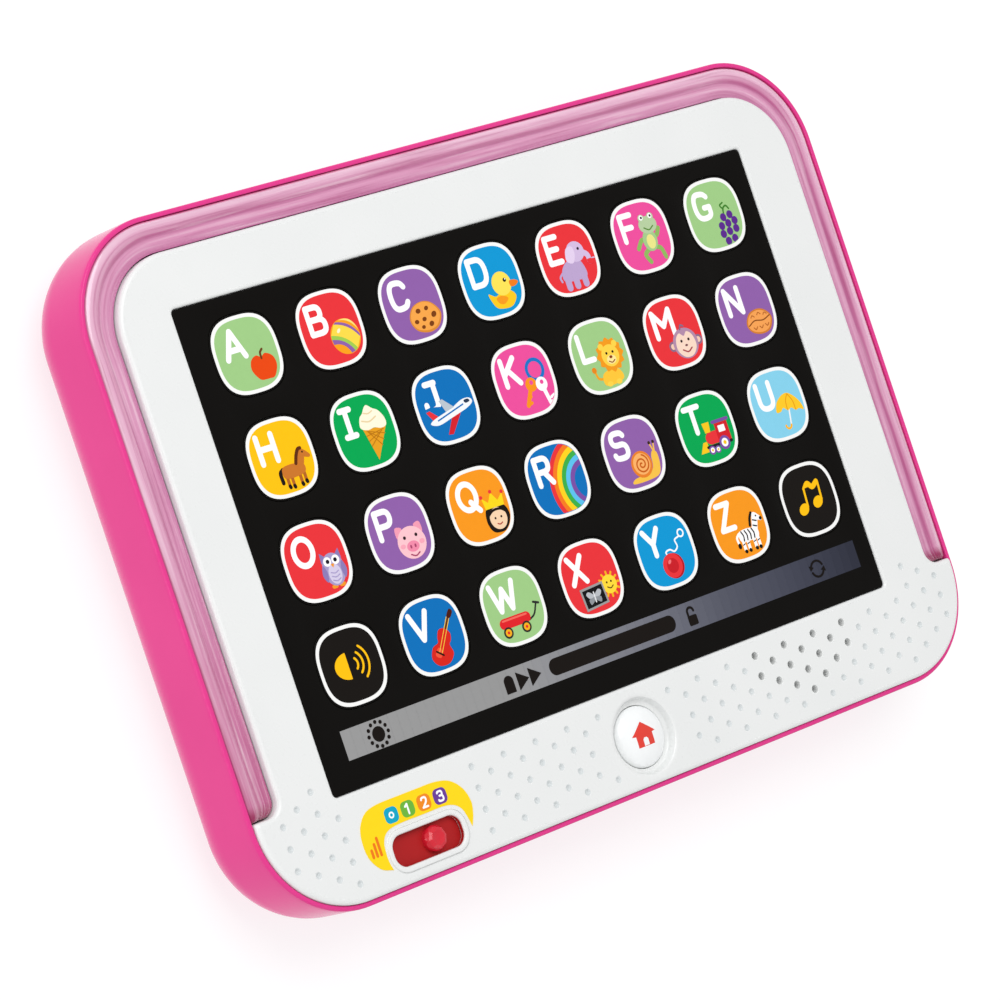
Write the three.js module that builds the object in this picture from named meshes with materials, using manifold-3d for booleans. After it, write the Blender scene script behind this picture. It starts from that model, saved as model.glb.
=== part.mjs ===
// A toddler's toy tablet: deep pink tub, white face plate, clear pink light ring and 28 picture keys.
// Millimetres. +X is to the right of the screen, +Y towards its top edge, +Z out of the screen.
// The origin is under the middle of the back, which lies flat on Z = 0.

import * as THREE from 'three';
import { mergeVertices } from 'three/addons/utils/BufferGeometryUtils.js';
import Module from 'manifold-3d';

const wasm = await Module();
wasm.setup();

// Driving dimensions
const keyPitch = 26;
const keyColumns = 7;
const keyRows = 4;
const keyHalf = 10.3;
const keyRadius = 7.2;
const keyTravel = 0.5;
const gap = 0.3;

const halfWidth = 120.1;
const halfHeight = 85.7;
const cornerRadius = 26;
const backRound = 15;
const roundSteps = 5;
const sideWall = 1.8;
const backWall = 2.2;

const faceTop = 30;
const facePlate = 2.6;
const faceBottom = faceTop - facePlate;
const rimTop = 28.7;
const skirtBottom = 22;
const skirtWall = 2;

// The face plate is narrower beside the light ring than it is below it.
const ringWidth = 7;
const faceHalf = halfWidth - sideWall - gap;
const faceEdge = halfHeight - sideWall - gap;
const faceRadius = cornerRadius - sideWall - gap;
const upperHalf = faceHalf - ringWidth - gap;
const upperEdge = faceEdge - ringWidth - gap;
const upperRadius = 18.2;
const notchY = - 57.8;
const notchFillet = 4;

const screen = { x0: - 95.25, x1: 93.25, y0: - 58.9, y1: 62.4, radius: 2.5 };
const screenLedge = 2;
const filmTop = 29.5;
const filmThick = 1.2;
const filmBottom = filmTop - filmThick;
const keyGridY = 8.4;
const membraneThick = 0.6;
const plateThick = 1.8;
const plateBottom = faceBottom - membraneThick - plateThick;

const home = { x: 0, y: - 72, dish: 10.4, hole: 8, radius: 7.7, collar: 11.2, collarBottom: 25.2 };
const slot = { x: - 73.35, y: - 76.3, halfX: 10.8, halfY: 3.9, radius: 3.2, lip: 1.6, lipTop: 30.6 };
const stagePitch = 5;
const stageAt = 2;
const knobX = slot.x + ( stageAt - 1.5 ) * stagePitch;
const speaker = { x: 58.5, y: - 70.3, radius: 11, firstRowY: - 63.5 };
const board = { x0: - 94.7, x1: 38, y0: - 81, y1: - 59, bottom: 17, thick: 1.6 };
const boardTop = board.bottom + board.thick;

const cellLength = 50.5;
const cellRadius = 7.15;
const cellPitch = 15.6;
const cellZ = 10.1;
const bay = { y: 9, halfX: 28.4, halfY: 23.4, top: 17.8, wall: 1.6 };
const door = { x0: - 32.6, x1: 42.5, halfY: 27.6, bottom: 0.3, thick: 2, screwX: 37.5, rim: 2.4 };
const doorTop = door.bottom + door.thick;

const screwPlaces = [
	[ - 98.9, 63 ], [ 98.9, 63 ], [ - 98.9, 0 ], [ 98.9, 0 ], [ - 98.9, - 63 ], [ 98.9, - 63 ]
];
const postTop = 20;
const ledX = 113.8;
const ledY = - 40;

const group = new THREE.Group();

// Shapes and solids

function roundedRect( x0, y0, x1, y1, r ) {

	const shape = new THREE.Shape();
	shape.moveTo( x0 + r, y0 );
	shape.lineTo( x1 - r, y0 );
	shape.absarc( x1 - r, y0 + r, r, - Math.PI / 2, 0 );
	shape.lineTo( x1, y1 - r );
	shape.absarc( x1 - r, y1 - r, r, 0, Math.PI / 2 );
	shape.lineTo( x0 + r, y1 );
	shape.absarc( x0 + r, y1 - r, r, Math.PI / 2, Math.PI );
	shape.lineTo( x0, y0 + r );
	shape.absarc( x0 + r, y0 + r, r, Math.PI, Math.PI * 1.5 );
	return shape;

}

function roundedSquare( x, y, halfX, halfY, r ) {

	return roundedRect( x - halfX, y - halfY, x + halfX, y + halfY, r );

}

function solid( geometry ) {

	const bare = geometry.index ? geometry.toNonIndexed() : geometry.clone();
	bare.deleteAttribute( 'normal' );
	bare.deleteAttribute( 'uv' );
	const merged = mergeVertices( bare, 1e-4 );
	return new wasm.Manifold( new wasm.Mesh( {
		numProp: 3,
		vertProperties: new Float32Array( merged.attributes.position.array ),
		triVerts: new Uint32Array( merged.index.array )
	} ) );

}

function prism( shape, z0, z1, curveSegments = 2 ) {

	const geometry = new THREE.ExtrudeGeometry( shape,
		{ depth: z1 - z0, bevelEnabled: false, curveSegments } );
	geometry.translate( 0, 0, z0 );
	return solid( geometry );

}

function block( x0, x1, y0, y1, z0, z1 ) {

	const geometry = new THREE.BoxGeometry( x1 - x0, y1 - y0, z1 - z0 );
	geometry.translate( ( x0 + x1 ) / 2, ( y0 + y1 ) / 2, ( z0 + z1 ) / 2 );
	return solid( geometry );

}

// A solid of revolution about the vertical through (x, y). The profile is a list of [radius, z].
function turned( profile, x, y, segments = 24 ) {

	const points = profile.map( ( [ r, z ] ) => new THREE.Vector2( r, z ) );
	const geometry = new THREE.LatheGeometry( points, segments );
	geometry.rotateX( Math.PI / 2 );
	geometry.translate( x, y, 0 );
	return solid( geometry );

}

function cylinder( x, y, radius, z0, z1, segments = 12 ) {

	return turned( [ [ 0, z0 ], [ radius, z0 ], [ radius, z1 ], [ 0, z1 ] ], x, y, segments );

}

function joined( solids ) {

	return solids.reduce( ( all, next ) => all.add( next ) );

}

// The rounded outline of the tub, drawn in by an inset, as a ring of points.
function tubRing( inset, steps = 8 ) {

	const r = cornerRadius - inset;
	const corners = [ [ 1, - 1, - 0.5 ], [ 1, 1, 0 ], [ - 1, 1, 0.5 ], [ - 1, - 1, 1 ] ];
	const points = [];
	for ( const [ sx, sy, start ] of corners ) {

		for ( let i = 0; i <= steps; i ++ ) {

			const a = Math.PI * ( start + 0.5 * i / steps );
			const x = sx * ( halfWidth - cornerRadius ) + r * Math.cos( a );
			const y = sy * ( halfHeight - cornerRadius ) + r * Math.sin( a );
			points.push( [ x, y ] );

		}

	}

	return points;

}

// A closed solid through tub outlines, each at its height and drawn in by its inset.
function loft( sections ) {

	const rings = sections.map( ( [ , inset ] ) => tubRing( inset ) );
	const count = rings[ 0 ].length;
	const vertices = rings.flatMap( ( ring, k ) =>
		ring.flatMap( ( [ x, y ] ) => [ x, y, sections[ k ][ 0 ] ] ) );
	const index = [];
	for ( let k = 0; k + 1 < rings.length; k ++ ) {

		for ( let i = 0; i < count; i ++ ) {

			const j = ( i + 1 ) % count;
			const low = k * count;
			const high = low + count;
			index.push( low + i, low + j, high + j, low + i, high + j, high + i );

		}

	}

	const last = ( rings.length - 1 ) * count;
	for ( let i = 1; i + 1 < count; i ++ ) {

		index.push( 0, i + 1, i );
		index.push( last, last + i, last + i + 1 );

	}

	const geometry = new THREE.BufferGeometry();
	geometry.setAttribute( 'position', new THREE.Float32BufferAttribute( vertices, 3 ) );
	geometry.setIndex( index );
	return solid( geometry );

}

function addPiece( name, shape, color, roughness, metalness = 0 ) {

	const mesh = shape.getMesh();
	const geometry = new THREE.BufferGeometry();
	geometry.setAttribute( 'position', new THREE.Float32BufferAttribute( mesh.vertProperties, 3 ) );
	geometry.setIndex( new THREE.Uint32BufferAttribute( mesh.triVerts, 1 ) );
	geometry.computeVertexNormals();
	const material = new THREE.MeshStandardMaterial( { color, roughness, metalness } );
	const piece = new THREE.Mesh( geometry, material );
	piece.name = name;
	group.add( piece );

}

// Housing

// The tub's section: a quarter round from the back up to an upright side, then a shoulder to the rim.
function tubOutside() {

	const sections = [];
	for ( let i = 0; i <= roundSteps; i ++ ) {

		const a = Math.PI / 2 * i / roundSteps;
		sections.push( [ backRound * ( 1 - Math.cos( a ) ), backRound * ( 1 - Math.sin( a ) ) ] );

	}

	sections.push( [ 26.6, 0 ], [ 27.9, 0.25 ], [ rimTop, 0.8 ] );
	return loft( sections );

}

function tubInside() {

	const sections = [];
	for ( let i = 0; i <= roundSteps; i ++ ) {

		const a = Math.PI / 2 * i / roundSteps;
		const z = backRound - ( backRound - backWall ) * Math.cos( a );
		sections.push( [ z, backRound - ( backRound - sideWall ) * Math.sin( a ) ] );

	}

	sections.push( [ faceTop, sideWall ] );
	return loft( sections );

}

function rearShell() {

	const outside = tubOutside();
	const bayOuter = block( - bay.halfX - bay.wall, bay.halfX + bay.wall,
		bay.y - bay.halfY - bay.wall, bay.y + bay.halfY + bay.wall, 1, bay.top + bay.wall );
	const rim = door.rim;
	const frameHalfY = door.halfY + rim;
	const doorFrame = block( door.x0 - rim, door.x1 + rim, bay.y - frameHalfY, bay.y + frameHalfY, 1, 4.2 );
	const doorPost = cylinder( door.screwX, bay.y, 4, 1, 12 );
	const posts = screwPlaces.flatMap( ( [ x, y ] ) =>
		[ cylinder( x, y, 4.4, 0, 10 ), cylinder( x, y, 3.8, 9, postTop ) ] );
	const platePosts = [ [ - 60, 50 ], [ 60, 50 ], [ - 60, - 30 ], [ 60, - 30 ] ]
		.map( ( [ x, y ] ) => cylinder( x, y, 3, 1, plateBottom ) );
	const boardPosts = [ - 88, - 22, 30 ].map( x => cylinder( x, - 64, 2.5, 1, board.bottom ) );
	const inner = joined( [ bayOuter, doorFrame, doorPost, ...posts, ...platePosts, ...boardPosts ] );

	const headWells = screwPlaces.map( ( [ x, y ] ) => cylinder( x, y, 3.4, - 1, 8 ) );
	const shankHoles = screwPlaces.map( ( [ x, y ] ) => cylinder( x, y, 1.7, 7, postTop + 1 ) );
	const bayRoom = block( - bay.halfX, bay.halfX, bay.y - bay.halfY, bay.y + bay.halfY, - 1, bay.top );
	const doorSeat = prism( roundedRect( door.x0 - gap, bay.y - door.halfY - gap, door.x1 + gap,
		bay.y + door.halfY + gap, 3.3 ), - 1, doorTop + 0.2 );
	const doorHole = cylinder( door.screwX, bay.y, 1.7, 0, 10.5 );

	const shell = outside.subtract( tubInside() ).add( inner.intersect( outside ) );
	return shell.subtract( joined( [ ...headWells, ...shankHoles, bayRoom, doorSeat, doorHole ] ) );

}

// The face plate's outline, grown outwards by a margin: narrow beside the ring, wide below it.
function faceOutline( grow = 0 ) {

	const u = upperHalf + grow;
	const top = upperEdge + grow;
	const ru = upperRadius + grow;
	const w = faceHalf + grow;
	const bottom = - faceEdge - grow;
	const notch = notchY + grow;
	const f = notchFillet - grow;
	const tip = 0.7;
	const rw = Math.min( faceRadius + grow, notch - tip - bottom - 0.1 );
	const quarter = Math.PI / 2;
	const shape = new THREE.Shape();
	shape.moveTo( - u + ru, top );
	shape.lineTo( u - ru, top );
	shape.absarc( u - ru, top - ru, ru, quarter, 0, true );
	shape.lineTo( u, notch + f );
	shape.absarc( u + f, notch + f, f, Math.PI, 3 * quarter, false );
	shape.lineTo( w - tip, notch );
	shape.absarc( w - tip, notch - tip, tip, quarter, 0, true );
	shape.lineTo( w, bottom + rw );
	shape.absarc( w - rw, bottom + rw, rw, 0, - quarter, true );
	shape.lineTo( - w + rw, bottom );
	shape.absarc( - w + rw, bottom + rw, rw, - quarter, - Math.PI, true );
	shape.lineTo( - w, notch - tip );
	shape.absarc( - w + tip, notch - tip, tip, Math.PI, quarter, true );
	shape.lineTo( - u - f, notch );
	shape.absarc( - u - f, notch + f, f, - quarter, 0, false );
	shape.lineTo( - u, top - ru );
	shape.absarc( - u + ru, top - ru, ru, Math.PI, quarter, true );
	return shape;

}

// Sound holes in rows of a staggered lattice, each row centred on the speaker.
function speakerHoles() {

	const stepX = 10.58;
	const stepY = 2.71;
	const holesInRow = [ 4, 3, 4, 3, 2, 1 ];
	const holes = [];
	holesInRow.forEach( ( count, row ) => {

		for ( let i = 0; i < count; i ++ ) {

			const x = speaker.x + stepX * ( i - ( count - 1 ) / 2 );
			holes.push( cylinder( x, speaker.firstRowY - stepY * row, 1, 25, faceTop + 1, 8 ) );

		}

	} );

	return holes;

}

function frontBezel() {

	const plate = prism( faceOutline(), faceBottom, faceTop, 4 );
	const skirt = prism( faceOutline(), skirtBottom, faceBottom, 4 );
	const ringSeat = loft( [ [ skirtBottom, sideWall + 0.6 ], [ skirtBottom + 1.8, sideWall + 0.6 ] ] )
		.subtract( block( - 200, 200, - 200, notchY + 1, 0, 40 ) );
	const room = prism( faceOutline( - skirtWall ), skirtBottom - 1, faceBottom, 4 );
	const bosses = screwPlaces.map( ( [ x, y ] ) => cylinder( x, y, 3.4, postTop + gap, faceBottom + 1 ) );
	const bossHoles = screwPlaces.map( ( [ x, y ] ) => cylinder( x, y, 1.5, postTop, faceBottom - 0.6 ) );
	const collar = cylinder( home.x, home.y, home.collar, home.collarBottom, faceBottom + 1, 24 );
	const dish = turned( [ [ 0, 27.4 ], [ home.hole + 0.2, 27.4 ], [ 9.6, 28.2 ], [ home.dish, faceTop ],
		[ home.dish, 31 ], [ 0, 31 ] ], home.x, home.y, 24 );
	const buttonHole = cylinder( home.x, home.y, home.hole, 20, 31, 24 );
	const lip = prism( roundedSquare( slot.x, slot.y, slot.halfX + slot.lip, slot.halfY + slot.lip,
		slot.radius + slot.lip ), faceTop - 1, slot.lipTop );
	const slotHole = prism( roundedSquare( slot.x, slot.y, slot.halfX, slot.halfY, slot.radius ), 20, 32 );
	const slideRoom = block( - 100.2, - 46.5, slot.y - 5.2, slot.y + 5.2, faceBottom - 1, faceTop - 1.3 );
	const opening = prism( roundedRect( screen.x0, screen.y0, screen.x1, screen.y1, screen.radius ),
		filmBottom, faceTop + 1 );
	const ledge = prism( roundedRect( screen.x0 + screenLedge, screen.y0 + screenLedge,
		screen.x1 - screenLedge, screen.y1 - screenLedge, 1 ), 20, faceTop );
	const lampHoles = [ - ledX, ledX ].map( x => cylinder( x, ledY, 2.8, 20, 25 ) );
	const lampRibs = [ - ledX, ledX ].flatMap( x => [ - 6, 6 ].map( y =>
		block( x - 2, x + 2, ledY + y - 0.6, ledY + y + 0.6, 19.4, skirtBottom + 1 ) ) );

	const walls = joined( [ skirt, ringSeat ] ).subtract( room );
	const body = joined( [ plate, walls, ...bosses, ...lampRibs, collar, lip ] );
	return body.subtract( joined( [ ...bossHoles, dish, buttonHole, slotHole, slideRoom, opening, ledge,
		...lampHoles, ...speakerHoles() ] ) );

}

// The light ring's section: a rounded bead near the outer edge and a lower strip inside it.
function lightRing() {

	const edge = sideWall + gap;
	const bead = [ [ skirtBottom + 1.8, 0 ], [ 27.6, 0 ], [ 28.2, 0.4 ], [ 28.6, 1.2 ], [ 28.7, 2 ],
		[ 28.5, 2.8 ], [ 28.1, 3.4 ], [ 27.8, ringWidth + 1 ] ];
	const whole = loft( bead.map( ( [ z, inset ] ) => [ z, edge + inset ] ) );
	const inner = faceOutline( gap );
	return whole.subtract( prism( inner, 20, 32, 4 ) );

}

// Screen and keys

function keyPlace( row, column ) {

	const x = ( column - ( keyColumns - 1 ) / 2 ) * keyPitch;
	const y = keyGridY + ( ( keyRows - 1 ) / 2 - row ) * keyPitch;
	return [ x, y ];

}

// Reading order: A to U in three rows, then a sound key, V to Z and a music key.
function keyNames() {

	const letters = Array.from( { length: 26 }, ( _, i ) => String.fromCharCode( 97 + i ) );
	const order = [ ...letters.slice( 0, 21 ), 'sound', ...letters.slice( 21 ), 'music' ];
	return order.map( name => 'key_' + name );

}

// The faces' colours, in the same order.
const green = 0x00a651;
const lightGreen = 0x9fcb86;
const red = 0xe8343a;
const purple = 0x8f60a8;
const blue = 0x0b70b9;
const sky = 0x0c97d3;
const paleSky = 0x86d0ea;
const magenta = 0xec4f9c;
const amber = 0xffc20e;
const orange = 0xf7981d;
const black = 0x15110e;
const keyColors = [
	lightGreen, red, purple, sky, red, magenta, lightGreen,
	amber, green, blue, magenta, lightGreen, red, purple,
	red, purple, orange, blue, purple, green, paleSky,
	black, blue, lightGreen, red, sky, orange, black
];

function everyKey( make ) {

	return keyNames().map( ( name, i ) =>
		make( ...keyPlace( Math.floor( i / keyColumns ), i % keyColumns ), name, keyColors[ i ] ) );

}

function screenFilm() {

	const sheet = prism( roundedRect( screen.x0 + gap, screen.y0 + gap, screen.x1 - gap, screen.y1 - gap,
		screen.radius - gap ), filmBottom, filmTop );
	const half = keyHalf + gap;
	const windows = everyKey( ( x, y ) =>
		prism( roundedSquare( x, y, half, half, keyRadius + gap ), filmBottom - 1, filmTop + 1 ) );
	return sheet.subtract( joined( windows ) );

}

function keyMembrane() {

	const sheet = block( - 95, 93, - 58.5, 62, faceBottom - membraneThick, faceBottom );
	const bumpTop = filmBottom - keyTravel - 0.1;
	const bumps = everyKey( ( x, y ) =>
		turned( [ [ 0, 27 ], [ 4.5, 27 ], [ 3.5, bumpTop ], [ 0, bumpTop ] ], x, y, 6 ) );
	const tail = block( - 34, - 18, - 58.5, - 57.9, boardTop + 1, faceBottom - 0.2 );
	return joined( [ sheet, tail, ...bumps ] );

}

function backingPlate() {

	const plate = prism( roundedRect( - 95.1, - 54, 95.1, 64, 3 ), plateBottom,
		faceBottom - membraneThick );
	const ribs = [ - 40, 0, 40 ].map( x =>
		block( x - 0.8, x + 0.8, 40, 60, plateBottom - 3, plateBottom + 1 ) );
	return joined( [ plate, ...ribs ] );

}

// Home button

function homeButton() {

	const dome = Array.from( { length: 6 }, ( _, i ) => {

		const a = Math.PI / 2 * i / 5;
		return [ home.radius * Math.cos( a ), 27.6 + 2.3 * Math.sin( a ) ];

	} );
	const flange = [ [ 0, 21.4 ], [ 3, 21.4 ], [ 3, 23.4 ], [ 9.4, 23.4 ], [ 9.4, 25 ],
		[ home.radius, 25 ] ];
	return turned( [ ...flange, ...dome ], home.x, home.y, 24 );

}

function buttonDome() {

	const top = 21.3;
	return turned( [ [ 0, boardTop ], [ 5, boardTop ], [ 5, boardTop + 0.6 ], [ 3.2, top ], [ 0, top ] ],
		home.x, home.y, 16 );

}

// Stage slider

function slidePlate() {

	const reachLeft = ( 3 - stageAt ) * stagePitch + 0.7;
	const reachRight = stageAt * stagePitch + 0.7;
	const plate = block( slot.x - slot.halfX - reachLeft, slot.x + slot.halfX + reachRight,
		slot.y - 4.9, slot.y + 4.9, 27, 28.4 );
	const stem = block( knobX - 1.5, knobX + 1.5, slot.y - 1, slot.y + 1, 21, 27.5 );
	return plate.add( stem );

}

function sliderKnob() {

	const profile = [ [ 0, 28.4 ], [ 3, 28.4 ], [ 3, 30.2 ], [ 2.5, 30.8 ], [ 1.4, 31 ], [ 0, 31 ] ];
	return turned( profile, knobX, slot.y, 16 );

}

function slideSwitch() {

	const body = block( slot.x - 13, slot.x + 13, slot.y - 4, slot.y + 4, boardTop, 26.7 );
	const slit = block( slot.x - 9.6, slot.x + 9.6, slot.y - 1.4, slot.y + 1.4, 20.4, 28 );
	return body.subtract( slit );

}

// The yellow label: a rounded plate above and beside the slot, without the slot's lip.
function stageLabel() {

	const plate = prism( roundedRect( - 91.9, - 79.7, - 58, - 63.7, 7.5 ), faceTop, faceTop + gap );
	const margin = slot.lip + 0.2;
	const lip = prism( roundedSquare( slot.x, slot.y, slot.halfX + margin, slot.halfY + margin,
		slot.radius + slot.lip ), 29, 32 );
	const below = block( - 100, - 50, - 90, slot.y - slot.halfY, 29, 32 );
	return plate.subtract( lip.add( below ) );

}

// Electronics

function speakerFrame() {

	const { x, y, radius: r } = speaker;
	const magnet = [ [ 0, 18.6 ], [ 7, 18.6 ], [ 7, 21.6 ] ];
	const basket = [ [ r - 2.6, 22.2 ], [ r - 1, 26.2 ], [ r, 26.2 ], [ r, 27.1 ], [ r - 1.6, 27.1 ],
		[ r - 3.4, 22.9 ], [ 0, 22.9 ] ];
	return turned( [ ...magnet, ...basket ], x, y );

}

function speakerCone() {

	const { x, y, radius: r } = speaker;
	const back = [ [ 0, 23.4 ], [ 2.4, 23.4 ], [ r - 2.3, 26.3 ], [ r - 2.3, 26.8 ] ];
	const front = [ [ r - 2.8, 26.8 ], [ 2.4, 24.1 ], [ 1.4, 24.7 ], [ 0, 24.9 ] ];
	return turned( [ ...back, ...front ], x, y );

}

function mainBoard() {

	const sheet = block( board.x0, board.x1, board.y0, board.y1, board.bottom, boardTop );
	const chip = cylinder( - 40, - 70, 5.5, board.bottom, boardTop + 1.2 );
	const capacitor = cylinder( 26, - 75, 2.5, board.bottom, boardTop + 5 );
	return joined( [ sheet, chip, capacitor ] );

}

function ringLed( x ) {

	const base = block( x - 3, x + 3, ledY - 8, ledY + 8, 18.2, 19.4 );
	const lamp = turned( [ [ 0, 19 ], [ 2.4, 19 ], [ 2.4, 22 ], [ 1.7, 23.3 ], [ 0, 23.7 ] ], x, ledY, 12 );
	return base.add( lamp );

}

// Battery bay

// Cells lie along X and point right, left and right, so that they are in series.
function cellPlace( i ) {

	return { y: bay.y + ( i - 1 ) * cellPitch, way: i % 2 ? - 1 : 1 };

}

// Turns a profile about a line along X: [radius, distance] measured from the bay's end wall.
function alongX( profile, y, wallX, way, segments ) {

	const points = profile.map( ( [ r, d ] ) => new THREE.Vector2( r, d ) );
	const geometry = new THREE.LatheGeometry( points, segments );
	geometry.rotateZ( way * Math.PI / 2 );
	geometry.translate( wallX, y, cellZ );
	return solid( geometry );

}

function battery( i ) {

	const { y, way } = cellPlace( i );
	const tip = bay.halfX - 0.5 - 0.5;
	const nubRadius = 2.75;
	const nubHeight = 1.3;
	const profile = [ [ 0, 0 ], [ nubRadius, 0 ], [ nubRadius, nubHeight ], [ cellRadius, nubHeight ],
		[ cellRadius, cellLength ], [ 0, cellLength ] ];
	return alongX( profile, y, way * tip, way, 24 );

}

// A spring-steel plate on an end wall, over one or two cells, with a nub or a spring for each.
function contact( from, to, side ) {

	const wallX = side * bay.halfX;
	const thick = 0.5;
	const y0 = cellPlace( from ).y - 5.5;
	const y1 = cellPlace( to ).y + 5.5;
	const innerX = wallX - side * thick;
	const plate = block( Math.min( wallX, innerX ), Math.max( wallX, innerX ), y0, y1, 4.6, 15.6 );
	const nub = [ [ 0, 0.2 ], [ 2, 0.2 ], [ 1.4, 0.9 ], [ 0, 0.9 ] ];
	const spring = [ [ 0, 0.2 ], [ 3.9, 0.2 ], [ 3.9, 1.1 ], [ 3.3, 1.5 ], [ 3.6, 2.1 ], [ 2.9, 2.7 ],
		[ 3.2, 3.3 ], [ 2.5, 4.1 ], [ 0, 4.1 ] ];
	const touches = [];
	for ( let i = from; i <= to; i ++ ) {

		const { y, way } = cellPlace( i );
		touches.push( alongX( way === side ? nub : spring, y, wallX, side, 12 ) );

	}

	return joined( [ plate, ...touches ] );

}

function batteryDoor() {

	const plate = prism( roundedRect( door.x0, bay.y - door.halfY, door.x1, bay.y + door.halfY, 3 ),
		door.bottom, doorTop );
	const hole = cylinder( door.screwX, bay.y, 1.7, - 1, 4 );
	const pocket = cylinder( door.screwX, bay.y, 3.2, - 1, 1.4 );
	return plate.subtract( hole.add( pocket ) );

}

// Screws

function screw( x, y, headZ, headRadius, headThick, shankRadius, tipZ ) {

	const top = headZ + headThick;
	const body = turned( [ [ 0, headZ ], [ headRadius, headZ ], [ headRadius, top ], [ shankRadius, top ],
		[ shankRadius, tipZ - 1 ], [ 0.5, tipZ ], [ 0, tipZ ] ], x, y, 12 );
	const long = headRadius * 0.6;
	const cross = block( x - long, x + long, y - 0.35, y + 0.35, headZ - 1, headZ + headThick / 2 )
		.add( block( x - 0.35, x + 0.35, y - long, y + long, headZ - 1, headZ + headThick / 2 ) );
	return body.subtract( cross );

}

// Assembly

const pink = 0xe0488f;
const white = 0xeef0ef;
const steel = 0xb9bcc0;

addPiece( 'rear_shell', rearShell(), pink, 0.35 );
addPiece( 'front_bezel', frontBezel(), white, 0.35 );
addPiece( 'light_ring', lightRing(), 0xd78bb2, 0.15 );
addPiece( 'screen_film', screenFilm(), 0x15110e, 0.3 );
everyKey( ( x, y, name, color ) =>
	addPiece( name, prism( roundedSquare( x, y, keyHalf, keyHalf, keyRadius ), filmBottom, filmTop ),
		color, 0.3 ) );
addPiece( 'key_membrane', keyMembrane(), 0x9aa3a0, 0.6 );
addPiece( 'backing_plate', backingPlate(), 0xdddddd, 0.6 );
addPiece( 'home_button', homeButton(), 0xf4f5f4, 0.2 );
addPiece( 'button_dome', buttonDome(), 0x8d9396, 0.7 );
addPiece( 'slide_plate', slidePlate(), 0xac2020, 0.4 );
addPiece( 'slider_knob', sliderKnob(), 0xd81f35, 0.3 );
addPiece( 'slide_switch', slideSwitch(), 0x2a2a2c, 0.5 );
addPiece( 'stage_label', stageLabel(), 0xffd400, 0.4 );
addPiece( 'main_board', mainBoard(), 0x1f6b3a, 0.5 );
addPiece( 'speaker_frame', speakerFrame(), steel, 0.4, 1 );
addPiece( 'speaker_cone', speakerCone(), 0x26262a, 0.8 );
addPiece( 'ring_led_left', ringLed( - ledX ), 0xf2f2ee, 0.2 );
addPiece( 'ring_led_right', ringLed( ledX ), 0xf2f2ee, 0.2 );
for ( let i = 0; i < 3; i ++ ) addPiece( 'battery_' + ( i + 1 ), battery( i ), 0x3c6e8f, 0.4, 0.3 );
addPiece( 'contact_negative', contact( 0, 0, - 1 ), steel, 0.35, 1 );
addPiece( 'contact_bridge_right', contact( 0, 1, 1 ), steel, 0.35, 1 );
addPiece( 'contact_bridge_left', contact( 1, 2, - 1 ), steel, 0.35, 1 );
addPiece( 'contact_positive', contact( 2, 2, 1 ), steel, 0.35, 1 );
addPiece( 'battery_door', batteryDoor(), pink, 0.35 );
addPiece( 'battery_door_screw', screw( door.screwX, bay.y, 0.5, 2.9, 0.8, 1.4, 9.5 ), steel, 0.35, 1 );
screwPlaces.forEach( ( [ x, y ], i ) =>
	addPiece( 'housing_screw_' + ( i + 1 ), screw( x, y, 6, 3, 2, 1.35, 26 ), steel, 0.35, 1 ) );

export default group;
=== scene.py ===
from math import atan2, ceil, cos, pi, radians, sin

import bpy
import numpy as np
from mathutils import Matrix, Vector
from mathutils.geometry import delaunay_2d_cdt, tessellate_polygon


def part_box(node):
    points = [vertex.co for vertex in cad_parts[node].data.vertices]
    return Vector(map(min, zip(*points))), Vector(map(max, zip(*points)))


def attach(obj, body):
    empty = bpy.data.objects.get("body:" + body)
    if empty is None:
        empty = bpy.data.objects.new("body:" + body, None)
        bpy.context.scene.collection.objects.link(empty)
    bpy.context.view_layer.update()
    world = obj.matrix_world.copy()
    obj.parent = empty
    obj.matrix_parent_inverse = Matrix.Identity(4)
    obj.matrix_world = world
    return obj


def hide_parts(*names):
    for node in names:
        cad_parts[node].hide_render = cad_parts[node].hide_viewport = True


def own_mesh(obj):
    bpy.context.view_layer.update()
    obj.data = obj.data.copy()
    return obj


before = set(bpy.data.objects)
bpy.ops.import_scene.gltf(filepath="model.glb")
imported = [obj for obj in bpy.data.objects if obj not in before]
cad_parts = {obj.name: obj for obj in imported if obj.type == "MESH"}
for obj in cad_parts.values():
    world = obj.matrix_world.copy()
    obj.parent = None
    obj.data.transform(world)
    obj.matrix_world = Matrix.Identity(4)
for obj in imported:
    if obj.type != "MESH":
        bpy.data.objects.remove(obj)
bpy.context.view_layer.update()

# A toddler's toy tablet: pink tub, white face, clear pink light ring and 28 printed keys.
# Pieces are worked out in millimetres and put into the meshes in metres.
mm = 0.001
scene = bpy.context.scene
scene.view_settings.view_transform = "Standard"


# Camera and light.

camera = {
    "target": (-0.01947, -0.00485, 0.0295),
    "distance": 1.05938,
    "azimuth": radians(-0.58),
    "elevation": radians(51.7),
    "roll": radians(-71.93),
    "lens": 154.9,
}


# Looks from the target back along the sight line, then rolls about that line.
def makeCamera(c):
    level = cos(c["elevation"])
    forward = Vector((level * cos(c["azimuth"]), level * sin(c["azimuth"]), -sin(c["elevation"])))
    upright = (Vector((0, 0, 1)) - forward * forward.z).normalized()
    side = forward.cross(upright)
    up = upright * cos(c["roll"]) + side * sin(c["roll"])
    data = bpy.data.cameras.new("camera")
    data.lens = c["lens"]
    data.clip_start = 0.01
    made = bpy.data.objects.new("camera", data)
    scene.collection.objects.link(made)
    turn = Matrix((forward.cross(up), up, -forward)).transposed()
    made.matrix_world = Matrix.Translation(Vector(c["target"]) - forward * c["distance"]) @ turn.to_4x4()
    scene.camera = made


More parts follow.
